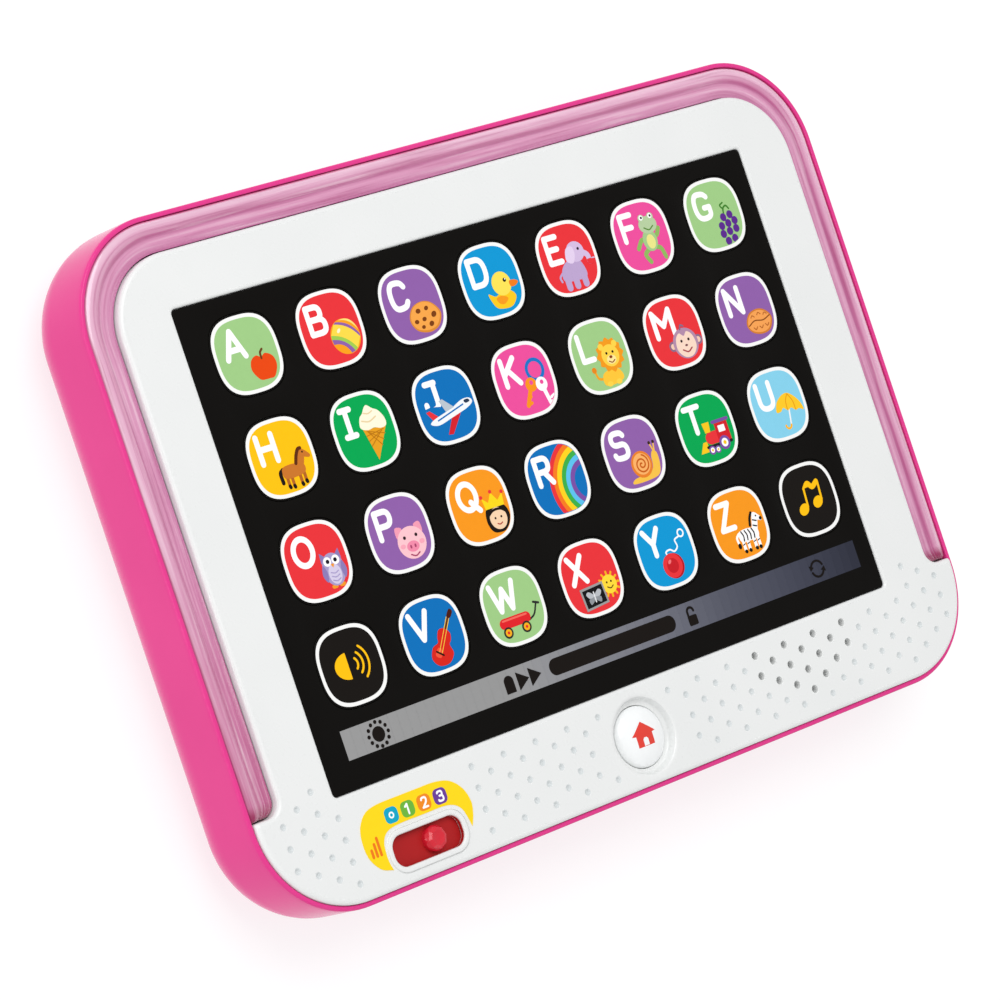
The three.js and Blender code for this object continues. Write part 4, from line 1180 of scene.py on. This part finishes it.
def umbrella(pen):
    pen.line("#F2F2F2", 0.05, (0.4, 0.1), (0.24, -0.62))
    pen.bow("#FFB81C", 0.06, 0.14, -0.62, 0.1, -10, -180)
    pen.blob("#FFC928", (-0.14, -0.2), (-0.04, 0.04), (0.2, 0.2), (0.44, 0.22), (0.66, 0.06), (0.8, -0.14),
             (0.84, -0.34),
             (0.68, -0.28), (0.56, -0.3), (0.42, -0.2), (0.28, -0.24), (0.14, -0.14), (0.02, -0.22))
    pen.curve("#E39A12", 0.03, (0.42, 0.2), (0.3, 0.02), (0.27, -0.22))
    pen.curve("#E39A12", 0.03, (0.42, 0.2), (0.54, -0.02), (0.56, -0.28))


def violin(pen):
    pen.line("#6B2A10", 0.07, (0.3, -0.1), (0.62, 0.34))
    pen.blob("#4A1A0C", (0.56, 0.34), (0.66, 0.28), (0.78, 0.42), (0.7, 0.5))
    pen.blob("#D8261C", (0.36, 0.08), (0.5, -0.08), (0.46, -0.26), (0.38, -0.36), (0.42, -0.6), (0.2, -0.8),
             (-0.12, -0.78), (-0.28, -0.56), (-0.16, -0.3), (0.04, -0.22), (0.08, -0.08), (0.18, 0.08))
    pen.blob("#F0563A", (-0.14, -0.5), (0.0, -0.34), (0.1, -0.42), (0.0, -0.6))
    for shift in (-0.03, 0.03):
        pen.line("#F7D44A", 0.018, (0.02 + shift, -0.5 - shift), (0.58 + shift, 0.3 - shift))
    pen.line("#2A120A", 0.05, (-0.08, -0.42), (0.1, -0.56))


def wagon(pen):
    pen.curve("#2A2A2A", 0.05, (0.36, -0.46), (0.56, -0.36), (0.72, -0.1))
    pen.line("#2A2A2A", 0.06, (0.64, -0.06), (0.8, -0.12))
    pen.line("#E0242A", 0.28, (-0.48, -0.36), (0.28, -0.36))
    pen.line("#F36A5C", 0.05, (-0.5, -0.28), (0.3, -0.28))
    for x in (-0.42, 0.2):
        pen.dot("#2A2A2A", x, -0.6, 0.15)
        pen.dot("#F7B21B", x, -0.6, 0.1)
        pen.dot("#E0242A", x, -0.6, 0.04)


def xray(pen):
    for turn in range(12):
        pen.line("#F6B51C", 0.06, (0.52, -0.3), (0.52 + 0.33 * cos(turn * pi / 6),
                                                 -0.3 + 0.33 * sin(turn * pi / 6)))
    pen.dot("#FFD93A", 0.52, -0.3, 0.25)
    for x in (0.45, 0.6):
        pen.dot("#4A2A0C", x, -0.24, 0.03)
    pen.curve("#4A2A0C", 0.03, (0.43, -0.36), (0.53, -0.41), (0.63, -0.36))
    pen.shard("#9A9A9A", (-0.5, -0.2), (0.3, -0.16), (0.34, -0.74), (-0.46, -0.8))
    pen.shard("#121214", (-0.44, -0.26), (0.25, -0.22), (0.28, -0.69), (-0.41, -0.74))
    for side in (-1, 1):
        pen.blob("#B9BDC2", (-0.08, -0.46), (-0.08 + side * 0.16, -0.32), (-0.08 + side * 0.26, -0.38),
                 (-0.08 + side * 0.16, -0.5))
        pen.blob("#8F9499", (-0.08, -0.5), (-0.08 + side * 0.2, -0.52), (-0.08 + side * 0.18, -0.66),
                 (-0.08 + side * 0.06, -0.6))
    pen.line("#E4E6E8", 0.04, (-0.08, -0.36), (-0.08, -0.62))


def yoyo(pen):
    pen.curve("#FFFFFF", 0.045, (0.04, -0.2), (-0.02, -0.04), (0.14, 0.0), (0.28, -0.08), (0.42, 0.02),
              (0.4, 0.2),
              (0.56, 0.26))
    pen.area("#FFFFFF", oval(0.66, 0.33, 0.12), oval(0.66, 0.33, 0.075))
    pen.dot("#B5141C", 0.12, -0.44, 0.34, count=40)
    pen.dot("#E8343A", 0.07, -0.42, 0.33, count=40)
    pen.dot("#C81E28", 0.07, -0.42, 0.2)
    pen.dot("#F2777A", 0.0, -0.3, 0.07, 0.045, 0.7)


def zebra(pen):
    pen.curve("#FFFFFF", 0.07, (-0.12, -0.24), (-0.22, -0.34), (-0.2, -0.54))
    pen.dot("#141414", -0.2, -0.56, 0.06, 0.08)
    for x in (-0.04, 0.12, 0.36, 0.5):
        pen.line("#FFFFFF", 0.1, (x, -0.4), (x, -0.7))
        pen.line("#141414", 0.03, (x - 0.035, -0.56), (x + 0.035, -0.54))
        pen.line("#141414", 0.1, (x, -0.74), (x + 0.01, -0.75))
    pen.blob("#FFFFFF", (-0.12, -0.22), (0.1, -0.16), (0.36, -0.18), (0.56, -0.24), (0.54, -0.46),
             (0.2, -0.5),
             (-0.1, -0.46))
    pen.curve("#FFFFFF", 0.2, (0.46, -0.3), (0.54, -0.1), (0.6, 0.06))
    pen.blob("#FFFFFF", (0.52, 0.16), (0.64, 0.18), (0.82, 0.0), (0.8, -0.08), (0.68, -0.04), (0.56, 0.0))
    pen.dot("#141414", 0.79, -0.02, 0.05)
    pen.curve("#141414", 0.07, (0.36, -0.12), (0.42, 0.06), (0.52, 0.2))
    for x in (0.0, 0.13, 0.26, 0.39):
        pen.curve("#141414", 0.04, (x - 0.03, -0.2), (x + 0.02, -0.33), (x, -0.46))
    for x, y in ((0.48, -0.16), (0.52, -0.02)):
        pen.line("#141414", 0.035, (x - 0.02, y + 0.02), (x + 0.1, y - 0.03))
    pen.dot("#141414", 0.65, 0.08, 0.025)


def sound(pen):
    pen.area("#FFC20E", arc(-0.1, 0, 0.34, pi / 2, 1.5 * pi, 20) * (1.25, 1) + (0.03, 0))
    for r, reach in ((0.18, 48), (0.34, 50), (0.52, 50)):
        pen.bow("#FFC20E", 0.06, 0.02, 0, r, -reach, reach)


def music(pen):
    for x, y, topX, topY in ((-0.3, -0.22, -0.1, 0.32), (0.26, -0.14, 0.46, 0.4)):
        pen.dot("#FFC20E", x, y, 0.19, 0.15, 0.5)
        pen.line("#FFC20E", 0.07, (x + 0.16, y + 0.04), (topX, topY))
    pen.curve("#FFC20E", 0.15, (-0.07, 0.3), (0.08, 0.42), (0.22, 0.3), (0.42, 0.4))


pictures = {
    "a": (apple, "lightGreen"), "b": (ball, "red"), "c": (cookie, "purple"), "d": (duck, "sky"),
    "e": (elephant, "red"), "f": (frog, "magenta"), "g": (grapes, "lightGreen"), "h": (horse, "amber"),
    "i": (iceCream, "green"), "j": (jet, "blue"), "k": (keyRing, "magenta"), "l": (lion, "lightGreen"),
    "m": (monkey, "red"), "n": (nut, "purple"), "o": (owl, "red"), "p": (pig, "purple"),
    "q": (queen, "orange"), "r": (rainbow, "blue"), "s": (snail, "purple"), "t": (train, "green"),
    "u": (umbrella, "paleSky"), "sound": (sound, "black"), "v": (violin, "blue"), "w": (wagon, "lightGreen"),
    "x": (xray, "red"), "y": (yoyo, "sky"), "z": (zebra, "orange"), "music": (music, "black"),
}
keyInks = {
    "lightGreen": "#9FCB86", "red": "#E8343A", "purple": "#8F60A8", "sky": "#0C97D3", "paleSky": "#86D0EA",
    "magenta": "#EC4F9C", "amber": "#FFC20E", "green": "#00A651", "blue": "#0B70B9", "orange": "#F7981D",
    "black": "#16120F", "border": "#F6F6F4", "film": "#090705",
}


# Keys and film.

film = {
    "outline": (-95.1, -58.75, 93.1, 62.25, 1.15), "bottom": 28.3, "top": 29.5, "roll": 0.15,
    "keyHalf": 10.12, "windowHalf": 10.24, "field": 9.6, "border": 0.9,
    "letterLeft": -0.6, "letterTop": 0.65, "letterHeight": 0.68, "letterPen": 0.155,
}


def middleOf(node):
    low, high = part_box(node)
    return (low.x + high.x) / 2 / mm, (low.y + high.y) / 2 / mm


# A plate with a soft square outline, its field printed with a white border, a colour, a letter and a picture.
def makeKey(name):
    surface = Surface()
    surface.ink = linear(keyInks["film"])
    x, y = middleOf("key_" + name)
    top, roll = film["top"], film["roll"]
    rings = surface.carry(softSquare(x, y, film["keyHalf"]), profile(
        [(-0.1, film["bottom"]), (0, film["bottom"] + 0.1)], bend((0, top - roll), (-roll, top), 3),
        [(-roll - 0.1, top)]))
    surface.fill([rings[-1]])
    surface.fill([rings[0]], up=False)
    field = film["field"]
    draw, ink = pictures[name]
    pen = Print(surface, x, y, field, top)
    border = film["border"] / field
    inner = softSquare(0, 0, 1 - border)(0)
    pen.area(keyInks["border"], softSquare(0, 0, 1)(0))
    pen.area(keyInks[ink], inner)
    pen.limit = 0.985 - border
    if ink != "black":
        if name == "r":
            draw(pen)
        letter(pen, name.upper(), "#FFFFFF", film["letterLeft"], film["letterTop"], film["letterHeight"],
               film["letterPen"])
    if name != "r":
        draw(pen)
    return piece("key" + name.capitalize(), surface, "key_" + name, "key_" + name, [finishes["keyFilm"]])


for name in pictures:
    makeKey(name)
print("keys are printed")

bar = {
    "box": (-87.5, -51.8, 87.6, -44.5), "shades": [(0, 0.315), (0.34, 0.30), (0.72, 0.105), (1, 0.034)],
    "pill": (-21.6, -46.0, 21.5, -50.3), "sun": (-76.9, -48.25), "steps": (-36.4, -48.25),
    "lock": (27.3, -48.25),
    "turn": (72.8, -48.25), "ink": "#17120F",
}


# The grey bar fades to the right: thin upright strips, each with its own grey, cool towards the dark end.
def printBar(surface):
    x0, y0, x1, y1 = bar["box"]
    pen = Print(surface, 0, 0, 1, film["top"])
    edges = np.linspace(x0, x1, 61)
    for left, right in zip(edges[:-1], edges[1:]):
        share = ((left + right) / 2 - x0) / (x1 - x0)
        places, shades = zip(*bar["shades"])
        shade = float(np.interp(share, places, shades))
        cool = max(share - 0.3, 0)
        pen.z = film["top"]
        pen.area((shade * (1 - 0.3 * cool), shade * (1 - 0.2 * cool), shade * (1 + 0.5 * cool)),
                 [(left, y0), (right + 0.02, y0), (right + 0.02, y1), (left, y1)])
    ink = bar["ink"]
    px0, py1, px1, py0 = bar["pill"]
    pen.area(ink, roundedBox(px0, py0, px1, py1, 2.1, 8)(0))
    sunX, sunY = bar["sun"]
    pen.dot(ink, sunX, sunY, 1.9)
    for i in range(12):
        a = i * pi / 6
        pen.dot(ink, sunX + 3.0 * cos(a), sunY + 3.0 * sin(a), 0.5, count=12)
    stepX, stepY = bar["steps"]
    pen.area(ink, np.concatenate((arc(stepX + 1.5, stepY + 0.7, 1.5, 0, pi, 12),
                                  [(stepX, stepY - 2.2), (stepX + 3, stepY - 2.2)])))
    for shift in (4.2, 8.2):
        pen.shard(ink, (stepX + shift, stepY + 2.3), (stepX + shift, stepY - 2.3),
                  (stepX + shift + 3.7, stepY))
    lockX, lockY = bar["lock"]
    pen.area(ink, roundedBox(lockX - 1.5, lockY - 2.4, lockX + 1.5, lockY + 0.2, 0.4, 4)(0))
    pen.bow(ink, 0.6, lockX - 0.1, lockY + 1.2, 1.05, 0, 180)
    pen.line(ink, 0.6, (lockX - 1.15, lockY + 1.2), (lockX - 1.15, lockY + 0.1))
    turnX, turnY = bar["turn"]
    for side in (0, pi):
        start, end = side + radians(20), side + radians(155)
        pen.area(ink, penLine(arc(turnX, turnY, 2.1, start, end, 14), 0.55))
        tip = np.array([turnX + 2.1 * cos(end), turnY + 2.1 * sin(end)])
        ahead, out = np.array([-sin(end), cos(end)]), np.array([cos(end), sin(end)])
        pen.shard(ink, tip + 1.2 * ahead, tip + 0.8 * out, tip - 0.8 * out)


def makeFilm():
    surface = Surface()
    surface.ink = linear(keyInks["film"])
    top, bottom, roll = film["top"], film["bottom"], film["roll"]
    edge = surface.carry(roundedBox(*film["outline"]), profile(
        [(0, bottom)], bend((0, top - roll), (-roll, top), 3), [(-roll - 0.1, top)]))
    windows = [surface.carry(softSquare(*middleOf("key_" + name), film["windowHalf"], count=48),
                             [(roll + 0.05, top), (0.04, top - 0.04), (0, top - roll), (0, bottom)])
               for name in pictures]
    surface.fill([edge[-1], *[w[0] for w in windows]])
    surface.fill([edge[0], *[w[-1] for w in windows]], up=False)
    printBar(surface)
    return piece("screenFilm", surface, "housing", "screen_film", [finishes["keyFilm"]])


makeFilm()
print("film is printed")


# Home button.

button = {
    "at": (0, -72), "radius": 7.85, "bottom": 21.4, "flange": 9.4, "edge": 27.6, "top": 29.9,
    "mark": "#E23A2C",
}


dome = {"foot": 5, "head": 3.2, "low": 18.6, "top": 21.3, "keep": 0.45}


def domeHeight(x, y):
    share = np.hypot(x - button["at"][0], y - button["at"][1]) / button["radius"]
    return button["edge"] + (button["top"] - button["edge"]) * np.sqrt(1 - share ** 2)


# A printed patch that follows the dome: its outline shrinks ring by ring to the middle.
def domePatch(surface, colour, outline, middle, lift):
    surface.ink = linear(colour)
    middle = np.array(middle) + button["at"]
    shares = (1, 1, 0.85, 0.68, 0.5, 0.32, 0.14)
    rings = np.array([outline * share + middle for share in shares])
    heights = domeHeight(rings[:, :, 0], rings[:, :, 1]) + lift
    heights[0] = domeHeight(*middle) - 0.8
    numbers = surface.add(np.concatenate((rings, heights[:, :, None]), axis=2))
    surface.skin(numbers)
    surface.pole(numbers[0], *middle, heights[0, 0], up=False)
    surface.pole(numbers[-1], *middle, float(domeHeight(*middle)) + lift)


# Points of a closed polygon, spaced along its sides.
def spaced(corners, steps=8):
    p = np.asarray(corners, float)
    t = np.linspace(0, 1, steps, endpoint=False)[None, :, None]
    return (p[:, None] * (1 - t) + np.roll(p, -1, axis=0)[:, None] * t).reshape(-1, 2)


def makeButton():
    surface = Surface()
    surface.ink = linear("#F6F8F8")
    r, wide = button["radius"], button["flange"] - button["radius"]
    low = button["bottom"]
    rings = surface.carry(circle(*button["at"], r, 72), profile(
        [(3 - r - 0.2, low), (3 - r, low + 0.2), (3 - r, 23.4), (wide - 0.2, 23.4), (wide, 23.6),
         (wide, 24.8),
         (wide - 0.2, 25), (0, 25), (0, button["edge"] - 0.1)],
         bend((0, button["edge"]), (0.25 - r, button["top"]), 22)))
    surface.pole(rings[0], *button["at"], low, up=False)
    surface.pole(rings[-1], *button["at"], button["top"])
    domePatch(surface, button["mark"], spaced([(2.7, -2.6), (2.7, 0.5), (3.9, 0.5), (0, 3.7), (-3.9, 0.5),
                                               (-2.7, 0.5),
                                               (-2.7, -2.6)]), (0, 0), 0.03)
    domePatch(surface, "#F6F8F8", spaced([(0.8, -1.05), (0.8, 0.55), (0.4, 1.0), (-0.4, 1.0), (-0.8, 0.55),
                                          (-0.8, -1.05)]), (0, -1.4), 0.06)
    return piece("homeButton", surface, "home_button", "home_button", [finishes["buttonPrint"]])


# The rubber dome under the button: a cone with rounded edges.
def makeDome():
    surface = Surface()
    x, y, low, top, keep = button["at"][0], button["at"][1], dome["low"], dome["top"], dome["keep"]
    rings = surface.carry(circle(x, y, dome["foot"], 48), profile(
        [(0, low), (0, low + 0.4)], bend((0, low + 0.4), (-0.25, low + 0.6), 3),
        bend((dome["head"] - dome["foot"], top - 0.3), (dome["head"] - dome["foot"] - 0.3, top), 4)))
    surface.pole(rings[0], x, y, low, up=False)
    surface.pole(rings[-1], x, y, top)
    made = piece("buttonDome", surface, "housing", "button_dome", [finishes["rubberGrey"]])
    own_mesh(made)


makeButton()
makeDome()
print("home button is turned")


# Stage slider and its label.

stage = {
    "plate": 30.0, "sticker": 30.12, "yellow": "#FFD91A", "orange": "#EE7B1E",
    "outer": ((-85.7, -79.7), (-88.9, -78.5), (-91.3, -75.4), (-91.9, -71.5), (-91.1, -67.6), (-88.5, -64.7),
              (-84.6, -63.7), (-78, -63.6), (-72, -63.6), (-66.2, -63.7), (-61.9, -64.8), (-58.9, -67.6),
              (-57.7, -71.2), (-58.3, -74.2), (-59.6, -76.9)),
    "inner": ((-60.1, -74.4), (-60.9, -72.2), (-62.8, -70.6), (-66, -69.9), (-72, -69.9), (-80, -69.9),
              (-83.9, -70.6), (-85.8, -72.6), (-86.3, -75.6), (-86.2, -77.9)),
    "badges": (("#12A6C6", -81.35), ("#6DB53F", -76.25), ("#F08C24", -71.15), ("#6B3F98", -66.05)),
    "badgeY": -67.3,
    "knob": (-70.85, -76.3, 3.2),
}


def makeLabel():
    surface = Surface()
    pen = Print(surface, 0, 0, 1, stage["sticker"] - 0.005)
    pen.low = stage["plate"] - 0.02
    pen.area(stage["yellow"], np.concatenate((smoothLine(stage["outer"]), smoothLine(stage["inner"]))))
    y = stage["badgeY"]
    for digit, (colour, x) in enumerate(stage["badges"]):
        pen.area(colour, roundedBox(x - 2.05, y - 1.95, x + 2.05, y + 1.95, 1.35, 6)(0))
        if digit:
            glyph = Print(surface, x, y, 2.35, pen.z)
            letter(glyph, str(digit), "#FFFFFF", -0.26, 0.5, 1, 0.22)
        else:
            pen.area("#FFFFFF", oval(x, y, 0.82), oval(x, y, 0.42))
    for i, (x, tall) in enumerate(((-90.1, 1.7), (-88.9, 2.9), (-87.7, 4.1))):
        pen.line(stage["orange"], 0.75, (x, -75.2), (x, -75.2 + tall))
    return piece("stageLabel", surface, "housing", "stage_label", [finishes["glossPrint"]])


# A round knob whose shoulder is cut into eight flats: the radius there is that of a regular polygon.
def makeKnob():
    surface = Surface()
    x, y, r = stage["knob"]
    turn = np.arange(64) * 2 * pi / 64
    flats = cos(pi / 8) / np.cos(np.mod(turn, pi / 4) - pi / 8)
    rows = [(r, 28.4, 0), (r, 29.6, 0), (r - 0.03, 29.8, 0.5), (2.75, 30.5, 1), (2.0, 30.9, 1),
            (1.85, 30.93, 1),
            (1.0, 30.7, 1), (0.5, 30.66, 1)]
    rings = [np.column_stack((x + reach * (1 + cut * (flats - 1)) * np.cos(turn),
                              y + reach * (1 + cut * (flats - 1)) * np.sin(turn), np.full(64, z)))
             for reach, z, cut in rows]
    numbers = surface.add(np.array(rings))
    surface.skin(numbers)
    surface.pole(numbers[0], x, y, 28.4, up=False)
    surface.pole(numbers[-1], x, y, 30.65)
    return piece("sliderKnob", surface, "stage_slider", "slider_knob", [finishes["sliderRed"]], 22)


makeLabel()
makeKnob()
print("stage slider is made")


# Battery door, screws and cells.

door = {
    "box": (-32.6, -18.6, 42.5, 36.6, 3), "outside": 0.3, "inside": 2.3, "edge": 0.35,
    "screw": (37.5, 9), "hole": 1.7, "pocket": 3.2, "pocketTop": 1.4,
    "grips": [(-27 + 2.6 * i, 9) for i in range(5)], "grip": (0.8, 11), "gripDepth": 0.45,
}
screwLook = {
    "door": {"at": (37.5, 9), "head": 0.5, "radius": 2.9, "thick": 0.8, "shank": 1.4, "tip": 9.5},
    "housing": {"head": 6, "radius": 3, "thick": 2, "shank": 1.35, "tip": 26},
    "pitch": 1.0, "thread": 0.16,
}
cell = {
    "length": 50.5, "radius": 7.15, "nub": 2.75, "nubHeight": 1.3, "axis": 10.1, "tip": 27.4, "pitch": 15.6,
    "middle": 9,
    "jacket": "#2E6F9E", "band": "#C98A3A", "metal": "#C3C6CA",
}


# The door's outside looks down; grip grooves and the screw's pocket are sunk into it.
def makeDoor():
    surface = Surface()
    low, high, edge = door["outside"], door["inside"], door["edge"]
    plate = surface.carry(roundedBox(*door["box"]), profile(
        [(-edge - 0.2, low)], bend((0, low + edge), (-edge, low), 4)[::-1], [(0, high - 0.2), (-0.2, high)]))
    well = surface.carry(circle(*door["screw"], door["hole"]), [
        (0, high), (0, door["pocketTop"]), (door["pocket"] - door["hole"], door["pocketTop"]),
        (door["pocket"] - door["hole"], low + 0.25), (door["pocket"] - door["hole"] + 0.25, low)])
    halfX, halfY = door["grip"]
    grooves = [surface.carry(boxRound(x, y, halfX, halfY, 0.78, 5), [(-0.55, low + door["gripDepth"]),
               (-0.3, low + door["gripDepth"] * 0.8), (-0.05, low + 0.1), (0.15, low)]) for x,
               y in door["grips"]]
    for groove in grooves:
        surface.fill([groove[0]], up=False)
    surface.fill([plate[-1], well[0]])
    surface.fill([plate[0], well[-1], *[groove[-1] for groove in grooves]], up=False)
    return piece("batteryDoor", surface, "battery_door", "battery_door", [finishes["tubPink"]])


# Head down, cross recess, then a shank whose radius runs in and out as a thread.
def makeScrew(name, body, node, at, head, radius, thick, shank, tip):
    surface = Surface()
    x, y = at
    turn = np.arange(64) * 2 * pi / 64
    lean = np.abs(np.mod(turn + pi / 4, pi / 2) - pi / 4)
    reach = np.minimum(0.6 * radius / np.cos(lean), 0.36 / np.maximum(np.sin(lean), 0.05))
    cross = lambda grow=0: np.column_stack((x + (reach + grow) * np.cos(turn),
                                            y + (reach + grow) * np.sin(turn)))
    crests = np.arange(head + thick + 0.6, tip - 1.6, screwLook["pitch"] / 2)
    thread = np.column_stack((shank - radius - screwLook["thread"] * (np.arange(len(crests)) % 2), crests))
    rows = surface.carry(circle(x, y, radius, 64), profile(
        [(-0.35, head), (-0.1, head + 0.08), (0, head + 0.3), (0, head + thick - 0.1), (-0.1, head + thick),
         (shank - radius, head + thick)], thread, [(shank - radius - 0.1, tip - 1.2),
                                                   (0.4 - radius, tip - 0.1)]))
    recess = surface.carry(cross, [(-0.06, head + thick * 0.55), (0, head)])
    surface.fill([rows[0], recess[-1]], up=False)
    surface.fill([recess[0]], up=False)
    surface.pole(rows[-1], x, y, tip)
    return piece(name, surface, body, node, [finishes["drawnSteel"]])


# A cell lies along X: its profile is turned about its axis, from the nub at the positive end.
def makeCell(number):
    surface = Surface()
    r, long, nub, rise = cell["radius"], cell["length"], cell["nub"], cell["nubHeight"]
    way = -1 if number == 2 else 1
    surface.ink = linear(cell["metal"])
    nose = surface.carry(circle(0, 0, nub, 48), [(-0.4, 0), (-0.1, 0.08), (0, 0.3), (0, rise),
                                                 (r - nub - 0.9, rise)])
    surface.ink = linear(cell["band"])
    cap = surface.carry(circle(0, 0, r, 48), profile([(-0.9, rise), (-0.5, rise)],
                                                     bend((-0.5, rise), (0, rise + 0.6), 4, False),
                                                     [(0, 13.5)]))
    surface.ink = linear(cell["jacket"])
    jacket = surface.carry(circle(0, 0, r, 48), profile([(0, 13.5), (0, long - 0.7)],
                                                        bend((0, long - 0.7), (-0.7, long - 0.1), 4),
                                                        [(-1.2, long - 0.1)]))
    surface.ink = linear(cell["metal"])
    base = surface.carry(circle(0, 0, r, 48), [(-1.2, long - 0.1), (-1.5, long), (-3.2, long)])
    surface.pole(nose[0], 0, 0, 0, up=False)
    surface.pole(base[-1], 0, 0, long)
    for first, second in ((nose, cap), (cap, jacket), (jacket, base)):
        surface.skin(np.array([first[-1], second[0]]))
    y = cell["middle"] + (number - 2) * cell["pitch"]
    surface.points = [np.column_stack((way * (cell["tip"] - p[:, 2]), y - way * p[:, 0],
                                       cell["axis"] + p[:, 1]))
                      for p in surface.points]
    return piece("cell" + str(number), surface, "housing", "battery_" + str(number), [finishes["cellPrint"]])


makeDoor()
makeScrew("doorScrew", "battery_door_screw", "battery_door_screw", **screwLook["door"])
for number, at in enumerate(tub["screws"], 1):
    makeScrew("housingScrew" + str(number), "housing", "housing_screw_" + str(number), at,
              **screwLook["housing"])
for number in (1, 2, 3):
    makeCell(number)
print("battery door, screws and cells are in")


# Pieces that keep their own shape.

carried = {
    "key_membrane": "membraneGrey", "backing_plate": "innerGrey",
    "slide_plate": "plateRed", "slide_switch": "switchBlack", "main_board": "circuitBoard",
    "speaker_frame": "drawnSteel", "speaker_cone": "paperCone", "ring_led_left": "lampEpoxy",
    "ring_led_right": "lampEpoxy", "contact_negative": "drawnSteel", "contact_bridge_right": "drawnSteel",
    "contact_bridge_left": "drawnSteel", "contact_positive": "drawnSteel",
}
for node, finish in carried.items():
    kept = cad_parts[node]
    if kept.material_slots:
        for place in kept.material_slots:
            place.material = finishes[finish]
    else:
        kept.data.materials.append(finishes[finish])
print("inner pieces have their finishes")
